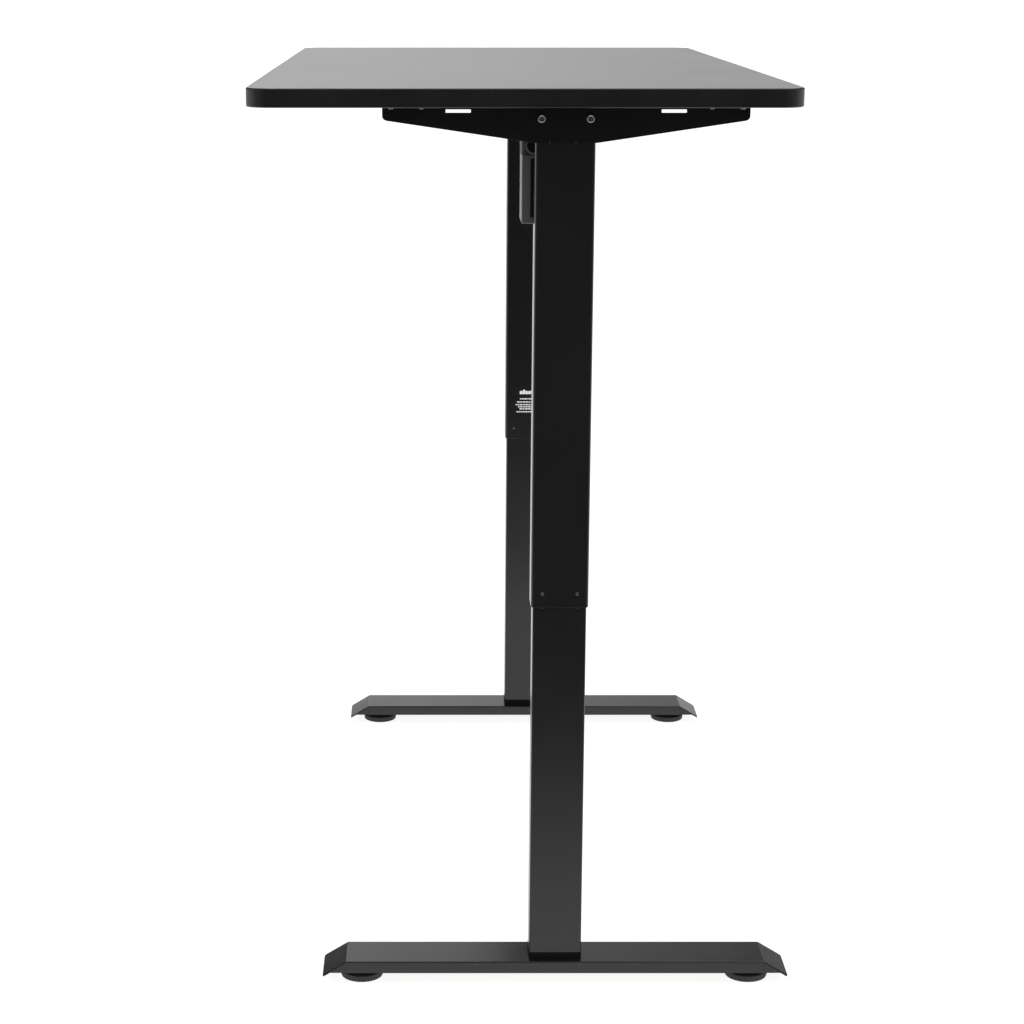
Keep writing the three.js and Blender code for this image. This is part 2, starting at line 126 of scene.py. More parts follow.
class StageSettings(bpy.types.PropertyGroup):
    """Light, floor and camera."""

    lens: FloatProperty(
        name="Lens", description="Focal length on a 36 mm frame", default=80.86, subtype="DISTANCE_CAMERA",
    )
    camera_tilt: FloatProperty(
        name="Tilt", description="How far the camera looks down",
        default=math.radians(13.458), subtype="ANGLE",
    )
    camera_shift: FloatProperty(
        name="Shift", description="Lens shift towards the rear edge, as a share of the frame", default=0.0766,
    )
    camera_distance: FloatProperty(
        name="Distance", description="Camera to the board's near end", default=2.8928, unit="LENGTH",
    )
    camera_above: FloatProperty(
        name="Above", description="Camera height over the board", default=0.1528, unit="LENGTH",
    )
    camera_aside: FloatProperty(
        name="Aside", description="Camera's offset to the user's side of the board's middle",
        default=0.1147, unit="LENGTH",
    )
    key_power: FloatProperty(name="Key light", description="Power of the overhead soft light", default=60.0)
    fill: FloatProperty(name="Fill", description="Strength of the white surroundings", default=1.25)
    floor_glow: FloatProperty(name="Floor glow", description="Light given off by the floor", default=0.98)
    floor: StringProperty(name="Floor", description="Colour of the floor", default="f7f7f6")


SETTINGS = {
    "desk_board": BoardSettings,
    "desk_steel": SteelSettings,
    "desk_fittings": FittingSettings,
    "desk_stage": StageSettings,
}


# ---------------------------------------------------------------- colours, nodes and finishes


def linear(hex_value, factor=1.0):
    """An sRGB hex colour as linear RGBA, made lighter or darker by a factor."""
    channels = [int(hex_value[i:i + 2], 16) / 255 for i in (0, 2, 4)]
    channels = [c / 12.92 if c <= 0.04045 else ((c + 0.055) / 1.055) ** 2.4 for c in channels]
    return tuple(min(c * factor, 1.0) for c in channels) + (1.0,)


def add_node(tree, kind, inputs=None, output=0, **settings):
    """Adds a node, sets its properties, fills its inputs with values or links and returns one output."""
    item = tree.nodes.new(kind)
    for name, value in settings.items():
        setattr(item, name, value)
    for key, value in (inputs or {}).items():
        if isinstance(value, bpy.types.NodeSocket):
            tree.links.new(value, item.inputs[key])
        else:
            item.inputs[key].default_value = value
    return item.outputs[output] if item.outputs else None


def per_metre(size_mm):
    """Noise scale whose features are about this many millimetres across."""
    return 1 / (size_mm * MM)


def empty_tree(owner):
    """The cleared node tree of a new material or world."""
    owner.use_nodes = True
    owner.node_tree.nodes.clear()
    return owner.node_tree


def surface(name, tone, light, dark, grain_mm, relief_mm, rough, patch_mm=60, patch_rough=0.06,
            stretch=(1, 1, 1), edge_wear=0.0, **shader):
    """One finish: colour between two tones in broad patches, fine relief at a real grain size, uneven gloss.

    light and dark are factors on the tone, rough is the middle roughness, and shader holds constants
    for the shader's own sockets, with _ for a space.
    """
    material = bpy.data.materials.new(name)
    tree = empty_tree(material)
    place = add_node(tree, "ShaderNodeTexCoord", output="Object")
    along = add_node(tree, "ShaderNodeMapping", {"Vector": place, "Scale": stretch})
    patches = add_node(tree, "ShaderNodeTexNoise", {
        "Vector": place, "Scale": per_metre(patch_mm), "Detail": 4.0, "Roughness": 0.6,
    })
    grain = add_node(tree, "ShaderNodeTexNoise", {
        "Vector": along, "Scale": per_metre(grain_mm), "Detail": 3.0, "Roughness": 0.55,
    })
    fleck = add_node(tree, "ShaderNodeTexNoise", {
        "Vector": along, "Scale": per_metre(grain_mm * 0.37), "Detail": 1.0,
    })
    blend = add_node(tree, "ShaderNodeMath", {0: patches, 1: 0.6}, operation="MULTIPLY")
    blend = add_node(tree, "ShaderNodeMath", {0: grain, 1: 0.4, 2: blend}, operation="MULTIPLY_ADD")
    colour = add_node(tree, "ShaderNodeValToRGB", {"Fac": blend})
    for stop, position, factor in zip(colour.node.color_ramp.elements, (0.36, 0.64), (dark, light)):
        stop.position = position
        stop.color = linear(tone, factor)
    if edge_wear:
        edge = add_node(tree, "ShaderNodeNewGeometry", output="Pointiness")
        worn = add_node(tree, "ShaderNodeMapRange", {
            "Value": edge, "From Min": 0.515, "From Max": 0.60, "To Min": 0.0, "To Max": edge_wear,
        })
        worn = add_node(tree, "ShaderNodeMath", {0: worn, 1: fleck}, operation="MULTIPLY")
        colour = add_node(tree, "ShaderNodeMix", {
            "Factor": worn, "A": colour, "B": linear(tone, 5.0),
        }, output="Result", data_type="RGBA")
    gloss = add_node(tree, "ShaderNodeMapRange", {
        "Value": patches, "From Min": 0.3, "From Max": 0.7,
        "To Min": rough - patch_rough, "To Max": rough + patch_rough,
    })
    height = add_node(tree, "ShaderNodeMath", {0: fleck, 1: 0.35, 2: grain}, operation="MULTIPLY_ADD")
    bump = add_node(tree, "ShaderNodeBump", {"Height": height, "Strength": 1.0, "Distance": relief_mm * MM})
    constants = {key.replace("_", " "): value for key, value in shader.items()}
    shaded = add_node(tree, "ShaderNodeBsdfPrincipled", {
        "Base Color": colour, "Roughness": gloss, "Normal": bump, **constants,
    })
    add_node(tree, "ShaderNodeOutputMaterial", {"Surface": shaded})
    return material


def make_finishes(scene):
    """Every finish of the desk, by name."""
    board, steel, fitting = scene.desk_board, scene.desk_steel, scene.desk_fittings
    return {
        # Melamine-faced chipboard, pressed with a fine pearl texture: an even satin, pale at a low angle.
        "melamine": surface("melamine_board", board.laminate, 1.08, 0.92, 2.2, 0.014, 0.30,
                            patch_mm=180, patch_rough=0.006, IOR=1.52),
        # Extruded ABS edge band: smooth, with faint drag lines along its run.
        "edge_band": surface("abs_edge_band", board.band, 1.1, 0.9, 1.2, 0.006, 0.36,
                             stretch=(0.12, 0.12, 2.0), IOR=1.53),
        # Powder-coated steel: slight orange peel, satin gloss. The peel is drawn at 2 mm so that it shows.
        "coat": surface("powder_coated_steel", steel.coat, 1.12, 0.9, 2.0, 0.012, 0.25,
                        patch_mm=90, patch_rough=0.03, edge_wear=0.25),
        # Weld bead under the same coat: a shade paler, so that the run shows.
        "weld": surface("coated_weld_bead", "2c2c2d", 1.1, 0.9, 1.0, 0.02, 0.3),
        # A dark matt band round the column's base: painted shade where the column meets the foot.
        "painted_shade_band": surface("painted_shade_root_band", "0c0c0c", 1.1, 0.9, 1.5, 0.02, 0.85, Specular_IOR_Level=0.12),
        # The same powder coat on drawn tube, where it lies flatter and shines a little more.
        "tube": surface("coated_drawn_tube", steel.coat, 1.08, 0.92, 2.4, 0.006, 0.23,
                        patch_mm=120, patch_rough=0.025, stretch=(1, 1, 0.5), edge_wear=0.2),
        # Painted die-cast aluminium: sandy skin from the mould.
        "casting": surface("painted_die_casting", "1e1e1f", 1.2, 0.85, 1.0, 0.05, 0.52),
        # Powder coat of the pressed parts under the board: darker and duller than the coat, as painted shade
        # from the board above.
        "shaded_coat": surface("powder_coat_painted_shade_under_board", "0a0a0a", 1.15, 0.85, 2.0, 0.012, 0.42,
                               patch_mm=90, patch_rough=0.03, edge_wear=0.2),
        # Grey nylon moulding with a fine spark texture: soft, even sheen.
        "motor_nylon": surface("grey_moulded_nylon", "474748", 1.12, 0.9, 0.9, 0.03, 0.38, IOR=1.53),
        # Black-passivated zinc on screws: dark metal with a clear highlight.
        "black_zinc": surface("black_zinc_screw", "6c6d70", 1.2, 0.8, 0.8, 0.006, 0.26,
                              patch_mm=6, Metallic=1.0),
        # Bright nickel plate on the bolts and on the sockets' contacts: nearly a mirror.
        "nickel": surface("bright_nickel_plate", "dcdad4", 1.04, 0.92, 0.6, 0.002, 0.14,
                          patch_mm=5, patch_rough=0.03, Metallic=1.0),
        # Ribbed nylon of the pads, a little paler than the glides.
        "pad": surface("paler_nylon_pad", "29292a", 1.3, 0.8, 1.2, 0.03, 0.48, IOR=1.53),
        # Spark-textured ABS moulding: dark and softly dull.
        "abs": surface("moulded_abs", fitting.moulding, 1.15, 0.9, 0.8, 0.03, 0.46, IOR=1.53),
        # Glass-filled nylon: dull, slightly streaked by the flow of the mould.
        "nylon": surface("glass_filled_nylon", "161617", 1.3, 0.85, 1.5, 0.03, 0.5,
                         stretch=(1, 1, 2.5), IOR=1.53),
        # Turned acetal: cream, waxy and slippery.
        "acetal": surface("turned_acetal", "cfc7b0", 1.05, 0.94, 1.0, 0.01, 0.38,
                          IOR=1.48, Subsurface_Weight=0.05),
        # Zinc-plated steel with a tumbled skin: pale grey, softly bright.
        "plated": surface("zinc_plated_steel", fitting.plating, 1.1, 0.8, 0.9, 0.008, 0.30,
                          patch_mm=8, Metallic=1.0),
        # Ground and oiled steel, with lines round the work.
        "ground": surface("ground_steel", "8e9092", 1.12, 0.75, 0.7, 0.008, 0.28,
                          stretch=(1, 1, 6), patch_mm=25, Metallic=1.0),
        # Silicone keys: dark grey, soft, nearly matt.
        "silicone": surface("silicone_key", "3a3a3c", 1.1, 0.92, 0.6, 0.01, 0.6, IOR=1.43),
        # Polyester film, printed and laid on the tube: smoother than the coat round it.
        "film": surface("polyester_film", "121213", 1.1, 0.9, 3.0, 0.004, 0.25, IOR=1.6),
        # Screen-printed ink: thick, even and matt.
        "ink": surface("screen_ink", fitting.ink, 1.03, 0.93, 0.7, 0.006, 0.55),
    }


# What each kind of frame node is made of, by how its name starts.
NODE_FINISH = {
    "melamine": ("desktop",),
    "coat": ("foot_beam", "centre_rail", "end_rail", "side_bracket", "leg_head", "control_lid"),
    "tube": ("inner_tube", "outer_tube"),
    "casting": ("worm_case", "gear_case"),
    "abs": ("control_shell", "handset", "motor_cover"),
    "nylon": ("upper_glide", "lower_glide", "level_pad"),
    "acetal": ("lead_nut",),
    "plated": ("motor_can", "bracket_bolt", "level_stud"),
    "ground": ("screw_bearing", "lead_screw", "screw_gear", "rod_gear", "drive_rod"),
    "silicone": ("button",),
    "film": ("rating_plate",),
}
FINISH = {}


# ---------------------------------------------------------------- outlines and meshes


def quarter(radius, steps):
    """A quarter circle from (radius, 0) round to (0, radius), centred on the origin."""
    angles = [math.radians(90 * i / steps) for i in range(steps + 1)]
    return [(radius * math.cos(a), radius * math.sin(a)) for a in angles]


def rounded_outline(width, height, radius, steps=8):
    """A centred rectangle with rounded corners as 2D points, anticlockwise."""
    points = []
    for start, x, y in ((0, 1, 1), (90, -1, 1), (180, -1, -1), (270, 1, -1)):
        cx, cy = x * (width / 2 - radius), y * (height / 2 - radius)
        for i in range(steps + 1):
            angle = math.radians(start + 90 * i / steps)
            points.append((cx + radius * math.cos(angle), cy + radius * math.sin(angle)))
    return points


def circle_outline(radius, steps=32, x=0.0, y=0.0):
    """A circle round (x, y) as 2D points, anticlockwise."""
    angles = [2 * math.pi * i / steps for i in range(steps)]
    return [(x + radius * math.cos(a), y + radius * math.sin(a)) for a in angles]


def polar_ring(steps, z, reach_at):
    """A ring round Z at a height, whose radius at each angle is reach_at(angle)."""
    angles = [2 * math.pi * i / steps for i in range(steps)]
    return [(reach_at(a) * math.cos(a), reach_at(a) * math.sin(a), z) for a in angles]


def hexagon_reach(angle):
    """How much further a hexagon reaches at an angle than the circle inside it."""
    return 1 / math.cos((angle + math.pi / 6) % (math.pi / 3) - math.pi / 6)


def cross_reach(angle):
    """How far a cross with four arms reaches at an angle, against the length of an arm."""
    from_arm = abs((angle + math.pi / 4) % (math.pi / 2) - math.pi / 4)
    return 1.0 if from_arm < 0.30 else 0.38


def loft(rings, target=None, closed=False, capped=True):
    """Skins a list of rings, each the same number of 3D points, into the target or a new bmesh."""
    bm = bmesh.new() if target is None else target
    rows = [[bm.verts.new(point) for point in ring] for ring in rings]
    pairs = list(zip(rows, rows[1:]))
    if closed:
        pairs.append((rows[-1], rows[0]))
    for low, high in pairs:
        count = len(low)
        for i in range(count):
            j = (i + 1) % count
            bm.faces.new((low[i], low[j], high[j], high[i]))
    if capped and not closed:
        bm.faces.new(rows[0])
        bm.faces.new(rows[-1])
    return bm


def flat_rings(outline_at, levels):
    """Rings in XY from (z, inset) levels, where outline_at(inset) gives the outline's 2D points."""
    return [[(x, y, z) for x, y in outline_at(inset)] for z, inset in levels]


def turned_rings(profile, steps=32, scale=1.0):
    """Rings round Z from (radius, z) pairs, which are multiplied by scale."""
    return [[(x, y, z * scale) for x, y in circle_outline(max(r * scale, 1e-5), steps)] for r, z in profile]


def shift(x=0.0, y=0.0, z=0.0):
    """The matrix that moves by (x, y, z)."""
    return Matrix.Translation((x, y, z))


def merge(target, source, matrix):
    """Copies source into target through a matrix and frees source."""
    bmesh.ops.transform(source, matrix=matrix, verts=source.verts)
    scratch = bpy.data.meshes.new("scratch")
    source.to_mesh(scratch)
    source.free()
    target.from_mesh(scratch)
    bpy.data.meshes.remove(scratch)


def sheet_mesh(outlines, thickness, bevel):
    """A flat sheet in XY with holes and softened edges, from z = 0 up to its thickness, as a bmesh."""
    curve = bpy.data.curves.new("sheet", "CURVE")
    curve.dimensions = "2D"
    curve.fill_mode = "BOTH"
    curve.extrude = thickness / 2 - bevel
    curve.bevel_depth = bevel
    curve.bevel_resolution = 1
    curve.offset = -bevel
    for outline in outlines:
        spline = curve.splines.new("POLY")
        spline.points.add(len(outline) - 1)
        for point, (x, y) in zip(spline.points, outline):
            point.co = (x, y, 0, 1)
        spline.use_cyclic_u = True
    holder = bpy.data.objects.new("sheet", curve)
    bpy.context.scene.collection.objects.link(holder)
    graph = bpy.context.evaluated_depsgraph_get()
    mesh = bpy.data.meshes.new_from_object(holder.evaluated_get(graph))
    bm = bmesh.new()
    bm.from_mesh(mesh)
    bpy.data.objects.remove(holder)
    bpy.data.curves.remove(curve)
    bpy.data.meshes.remove(mesh)
    bmesh.ops.remove_doubles(bm, verts=bm.verts, dist=1e-6)
    bmesh.ops.translate(bm, verts=bm.verts, vec=(0, 0, thickness / 2))
    return bm


def fold(bm, line, outer_radius, steps=6):
    """Folds the part of a flat sheet beyond y = line up by a right angle, towards +Z.

    The sheet lies from z = 0 up; the inside of the fold is on the +Z side.
    """
    arc = outer_radius * math.pi / 2
    for i in range(steps + 1):
        bmesh.ops.bisect_plane(
            bm, geom=bm.verts[:] + bm.edges[:] + bm.faces[:],
            plane_co=(0, line + arc * i / steps, 0), plane_no=(0, 1, 0),
        )
    for vertex in bm.verts:
        run = vertex.co.y - line
        if run <= 0:
            continue
        reach = outer_radius - vertex.co.z
        angle = min(run / arc, 1.0) * math.pi / 2
        vertex.co.y = line + reach * math.sin(angle)
        vertex.co.z = outer_radius - reach * math.cos(angle) + max(run - arc, 0.0)


# ---------------------------------------------------------------- pieces and places


def add_piece(bm, name, finish, body, slot, *nodes, place=None, angle=32):
    """Turns a bmesh into a placed piece with smooth faces, split at edges sharper than angle.

    The piece rides its body and hides the nodes it stands for. Its slot is not used.
    """
    if place is not None:
        bmesh.ops.transform(bm, matrix=place, verts=bm.verts)
    bmesh.ops.remove_doubles(bm, verts=bm.verts, dist=1e-6)
    bmesh.ops.recalc_face_normals(bm, faces=bm.faces)
    mesh = bpy.data.meshes.new(name)
    bm.to_mesh(mesh)
    bm.free()
    if "custom_normal" in mesh.attributes:
        mesh.attributes.remove(mesh.attributes["custom_normal"])
    mesh.shade_smooth()
    mesh.set_sharp_from_angle(angle=math.radians(angle))
    mesh.materials.append(FINISH[finish])
    piece = bpy.data.objects.new(name, mesh)
    bpy.context.scene.collection.objects.link(piece)
    # Broad faces stay flat beside their rounded edges.
    even = piece.modifiers.new("even_faces", "WEIGHTED_NORMAL")
    even.keep_sharp = True
    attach(piece, body)
    if nodes:
        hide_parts(*nodes)


def soften(node, name, finish, body, slot, width=0.5 * MM):
    """A piece with the node's shape and its edges rounded, in the node's place."""
    bm = bmesh.new()
    bm.from_mesh(frame["nodes"][node].data)
    bmesh.ops.remove_doubles(bm, verts=bm.verts, dist=1e-5)
    bmesh.ops.dissolve_limit(bm, angle_limit=math.radians(1), verts=bm.verts, edges=bm.edges)
    sharp = [e for e in bm.edges if len(e.link_faces) == 2 and e.calc_face_angle(0) > math.radians(35)]
    bmesh.ops.bevel(
        bm, geom=sharp, offset=width, offset_type="OFFSET", segments=2, profile=0.5,
        affect="EDGES", clamp_overlap=True,
    )
    add_piece(bm, name, finish, body, slot, node)


def middle(low, high):
    """The point halfway between two corners."""
    return [(a + b) / 2 for a, b in zip(low, high)]


def leg_place(side):
    """From a leg's own space, +X outward and the column's axis at the origin, to the desk."""
    x, y, _ = middle(*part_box(f"outer_tube_{side}"))
    return shift(x, y) @ Matrix.Rotation(TURN[side], 4, "Z")


def leg_box(node, side):
    """A node's low and high corners in the leg's own space."""
    back = leg_place(side).inverted()
    corners = [back @ Vector(corner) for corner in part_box(f"{node}_{side}")]
    return [min(pair) for pair in zip(*corners)], [max(pair) for pair in zip(*corners)]


# Turns that make a sheet drawn in XY face outward on a leg, and a screw drawn on z = 0 face a side.
OUTWARD = Matrix(((0, 0, 1, 0), (1, 0, 0, 0), (0, 1, 0, 0), (0, 0, 0, 1)))
HEAD_OUT = Matrix.Rotation(math.pi / 2, 4, "Y")
HEAD_IN = Matrix.Rotation(-math.pi / 2, 4, "Y")
HEAD_DOWN = Matrix.Rotation(math.pi, 4, "X")
HEAD_MINUS_Y = Matrix.Rotation(math.pi / 2, 4, "X")
HEAD_PLUS_Y = Matrix.Rotation(-math.pi / 2, 4, "X")


# ---------------------------------------------------------------- screws


def cap_screw(radius, height, socket, depth, sides, steps=24):
    """A domed head on z = 0, sizes in millimetres, with a straight socket: 6 sides, or a cross for 4."""
    drive = hexagon_reach if sides == 6 else cross_reach
    rings = [
        polar_ring(steps, z * MM, lambda angle: socket * share * MM * drive(angle))
        for share, z in ((0.02, height - depth), (0.9, height - depth), (1.0, height))
    ]
    rings += turned_rings((
        (socket * 1.28, height), (radius * 0.78, height * 0.88), (radius * 0.93, height * 0.6),
        (radius, height * 0.25), (radius, 0.0), (radius * 0.5, -0.1),
    ), steps, MM)
    return loft(rings)


def rimmed_bolt(radius):
    """A plated socket bolt on z = 0: a rounded rim round a deep cone and a hexagonal drive."""
    return loft([
        polar_ring(48, z * MM, lambda angle: radius * reach * (1 + hexed * (hexagon_reach(angle) - 1)))
        # Each ring: share of the radius, height in mm and how hexagonal it is.
        for reach, z, hexed in (
            (0.02, 0.2, 1), (0.36, 0.2, 1), (0.38, 1.4, 1), (0.46, 1.5, 0.4), (0.50, 2.2, 0),
            (0.56, 2.9, 0), (0.65, 3.4, 0), (0.75, 3.6, 0), (0.85, 3.4, 0), (0.93, 2.9, 0),
            (0.98, 2.2, 0), (1.0, 1.3, 0), (1.0, 0.3, 0), (0.97, 0.0, 0), (0.5, -0.1, 0),
        )
    ])


def glide_screw(radius=2.3, steps=24):
    """A small domed screw on z = 0 with its drive's hollow, seated in a pressed dish."""
    return loft(turned_rings((
        (radius * 0.02, 0.5), (radius * 0.25, 0.5), (radius * 0.32, 1.25), (radius * 0.55, 1.1),
        (radius * 0.8, 0.7), (radius, 0.15), (radius, 0.0), (radius * 0.6, -0.4),
    ), steps, MM))


# ---------------------------------------------------------------- operators, one for each group of pieces


class DESK_OT_board(bpy.types.Operator):
    """Builds the board: two melamine faces and the edge band round them"""

    bl_idname = "desk.board"
    bl_label = "Desktop board"

    def execute(self, context):
        settings = context.scene.desk_board
        low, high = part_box("desktop")
        width, depth = high[0] - low[0], high[1] - low[1]
        x, y, _ = middle(low, high)
        radius, soft, band = settings.corner_radius, settings.edge_round, settings.band_depth

        def outline(inset):
            return rounded_outline(width - 2 * inset, depth - 2 * inset, radius - inset, 16)

        def both_faces(section):
            """Levels from a section of (distance from a face, inset), on the top and mirrored below."""
            levels = [(high[2] - down, inset) for down, inset in section]
            return levels + [(low[2] + up, inset) for up, inset in reversed(section)]

        # From the band's seam on the face, over the rounded edge, to its flat side.
        section = [(0.6 * MM, band + 0.15 * MM), (0.05 * MM, band)]
        section += [(soft - a, soft - b) for a, b in quarter(soft, 5)]
        bm = loft(flat_rings(outline, both_faces(section)), capped=False)
        add_piece(bm, "edge_band", "edge_band", "top", "desktop", place=shift(x, y))

        # The faces end in a fine groove beside the band.
        section = [(0.0, band + 0.5 * MM), (0.1 * MM, band + 0.2 * MM), (0.7 * MM, band + 0.2 * MM)]
        bm = loft(flat_rings(outline, both_faces(section)))
        add_piece(bm, "board_faces", "melamine", "top", "desktop", "desktop", place=shift(x, y))
        return {"FINISHED"}


class DESK_OT_brackets(bpy.types.Operator):
    """Folds the side brackets from sheet and screws them to the board and the legs"""

    bl_idname = "desk.brackets"
    bl_label = "Side brackets"

    # Distances along the bracket from its middle, and down or in from its fold.
    bolt_y, bolt_drop = 31.5 * MM, 19.5 * MM
    slot_y, slot_drop = 139 * MM, 10.2 * MM
    screw_spots, screw_inset = (-225, -186, 186, 225), 10 * MM
    end_height, ease = 17 * MM, 6 * MM

    def blank(self, half, flat, top, bottom, bend, flange):
        """The flat blank's outlines: the web hangs down from its fold line and the flange lies beyond it."""
        fold_line = top - bend
        reach = fold_line + bend * math.pi / 2 + flange
        web = [(-half + x * MM, top - self.end_height - z * MM)
               for x, z in ((0, 0), (0.7, 2.4), (2.6, 4.4), (5.4, 5.6))]
        web += [(-flat - 2 * MM, bottom + 0.2 * MM), (-flat + 1 * MM, bottom)]
        web += [(-y, z) for y, z in reversed(web)]
        far = [(half, fold_line), (half, reach - self.ease), (half - self.ease, reach)]
        outlines = [web + far + [(-y, z) for y, z in reversed(far)]]
        for sign in (-1, 1):
            slot = rounded_outline(32.5 * MM, 4.2 * MM, 0.4 * MM, 3)
            outlines.append([(x + sign * self.slot_y, y + top - self.slot_drop) for x, y in slot])
            outlines.append(circle_outline(3.3 * MM, 20, sign * self.bolt_y, top - self.bolt_drop))
        for y in self.screw_spots:
            outlines.append(circle_outline(2.4 * MM, 16, y * MM, reach - self.screw_inset))
        return outlines

    def execute(self, context):
        steel, fitting = context.scene.desk_steel, context.scene.desk_fittings
        sheet, bend = steel.bracket_sheet, steel.bend_radius
        for side in SIDES:
            place = leg_place(side)
            low, high = leg_box("side_bracket", side)
            tube_low, tube_high = leg_box("outer_tube", side)
            half, flat = (high[1] - low[1]) / 2, (tube_high[1] - tube_low[1]) / 2
            top, bottom = high[2], low[2]
            outlines = self.blank(half, flat, top, bottom, bend, high[0] - low[0] - bend)
            bm = sheet_mesh(outlines, sheet, 0.3 * MM)
            fold(bm, top - bend, bend)
            # The blank's thickness faces outward; its first face is against the leg.
            bmesh.ops.transform(bm, matrix=shift(low[0]) @ OUTWARD, verts=bm.verts)
            # The bracket takes the darker coat: painted shade under the board.
            add_piece(
                bm, f"folded_bracket_{side}", "shaded_coat",
                "top", "frame", f"side_bracket_{side}", place=place,
            )

            for end in ENDS:
                # A left leg's own Y runs the other way.
                y = self.bolt_y * (-1 if (end == "front") == (side == "right") else 1)
                spot = place @ shift(low[0] + sheet, y, top - self.bolt_drop) @ HEAD_OUT
                bm = rimmed_bolt(fitting.bolt_head / 2)
                add_piece(
                    bm, f"button_head_{end}_{side}", "nickel",
                    "top", "bolt", f"bracket_bolt_{end}_{side}", place=spot,
                )

            bm = bmesh.new()
            for y in self.screw_spots:
                spot = shift(high[0] - self.screw_inset, y * MM, top - sheet)
                merge(bm, cap_screw(4.4, 4.6, 2.2, 2.0, 4), spot @ HEAD_DOWN)
            add_piece(bm, f"board_screws_{side}", "black_zinc", "top", "bolt", place=place)

            # Two small bumps on the web, just over its lower edge, plated bright as painted highlights.
            bm = bmesh.new()
            for y in (-20.6, 13.0):
                spot = loft(turned_rings(((0.9, 0.0), (0.75, 0.3), (0.2, 0.45)), 12, MM))
                merge(bm, spot, shift(low[0] + sheet, y * MM, bottom + 1.4 * MM) @ HEAD_OUT)
            add_piece(bm, f"bracket_painted_highlight_dots_{side}", "plated", "top", "frame", place=place)
        return {"FINISHED"}


class DESK_OT_columns(bpy.types.Operator):
    """Builds the telescoping tubes, their glides' tabs and the small screws at the lower rim"""

    bl_idname = "desk.columns"
    bl_label = "Columns"

    narrow_wall = 1.6 * MM
    tube_step = 2.5 * MM  # from the wide tube's face to the narrow one's
    spots_y, screw_height = (-23.5, 23.5), 19 * MM

    def execute(self, context):
        steel = context.scene.desk_steel
        for side in SIDES:
            place = leg_place(side)
            self.tube("outer_tube", side, steel.tube_wall, steel.tube_radius, "top")
            outline = self.tube(
                "inner_tube", side, self.narrow_wall, steel.tube_radius - self.tube_step, BASE_OF[side],
            )

            # A dark band round the column's base, just over the foot: painted shade where it meets the foot.
            foot_top = leg_box("foot_beam", side)[1][2]
            wrap, tuck = -0.25 * MM, 0.1 * MM
            levels = [
                (foot_top, wrap), (foot_top + 8.8 * MM, wrap), (foot_top + 9.4 * MM, tuck), (foot_top, tuck),
            ]
            bm = loft(flat_rings(outline, levels), closed=True)
            add_piece(bm, f"column_base_painted_shade_{side}", "painted_shade_band", BASE_OF[side], "tube", place=place)

            low, high = leg_box("outer_tube", side)
            screws, tabs = bmesh.new(), bmesh.new()
            for x, inward, turn in ((low[0], 1, HEAD_IN), (high[0], -1, HEAD_OUT)):
                for y in self.spots_y:
                    merge(screws, glide_screw(), shift(x, y * MM, low[2] + self.screw_height) @ turn)
                    tab = loft([
                        [(a, b, z * MM) for a, b in rounded_outline(depth * MM, width * MM, radius * MM, 3)]
                        for depth, width, radius, z in (
                            (2.0, 4.4, 0.4, -1.6), (2.6, 5, 0.5, -1.2), (2.6, 5, 0.5, 0.0),
                        )
                    ])
                    merge(tabs, tab, shift(x + inward * 1.6 * MM, y * MM, low[2]))
            add_piece(screws, f"glide_screws_{side}", "black_zinc", "top", "bolt", place=place)
            add_piece(tabs, f"glide_tabs_{side}", "nylon", "top", "glide_plastic", place=place)
        return {"FINISHED"}

    def tube(self, node, side, wall, radius, body):
        """One drawn tube with eased rims; gives back its outline at an inset."""
        low, high = leg_box(node, side)
        edge = 0.3 * MM

        def outline(inset):
            return rounded_outline(high[0] - low[0] - 2 * inset, high[1] - low[1] - 2 * inset, radius - inset)

        levels = [
            (low[2] + edge, 0), (high[2] - edge, 0), (high[2], edge), (high[2], wall - edge),
            (high[2] - edge, wall), (low[2] + edge, wall), (low[2], wall - edge), (low[2], edge),
        ]
        bm = loft(flat_rings(outline, levels), closed=True)
        add_piece(bm, f"{node}_drawn_{side}", "tube", body, "tube", f"{node}_{side}", place=leg_place(side))
        return outline


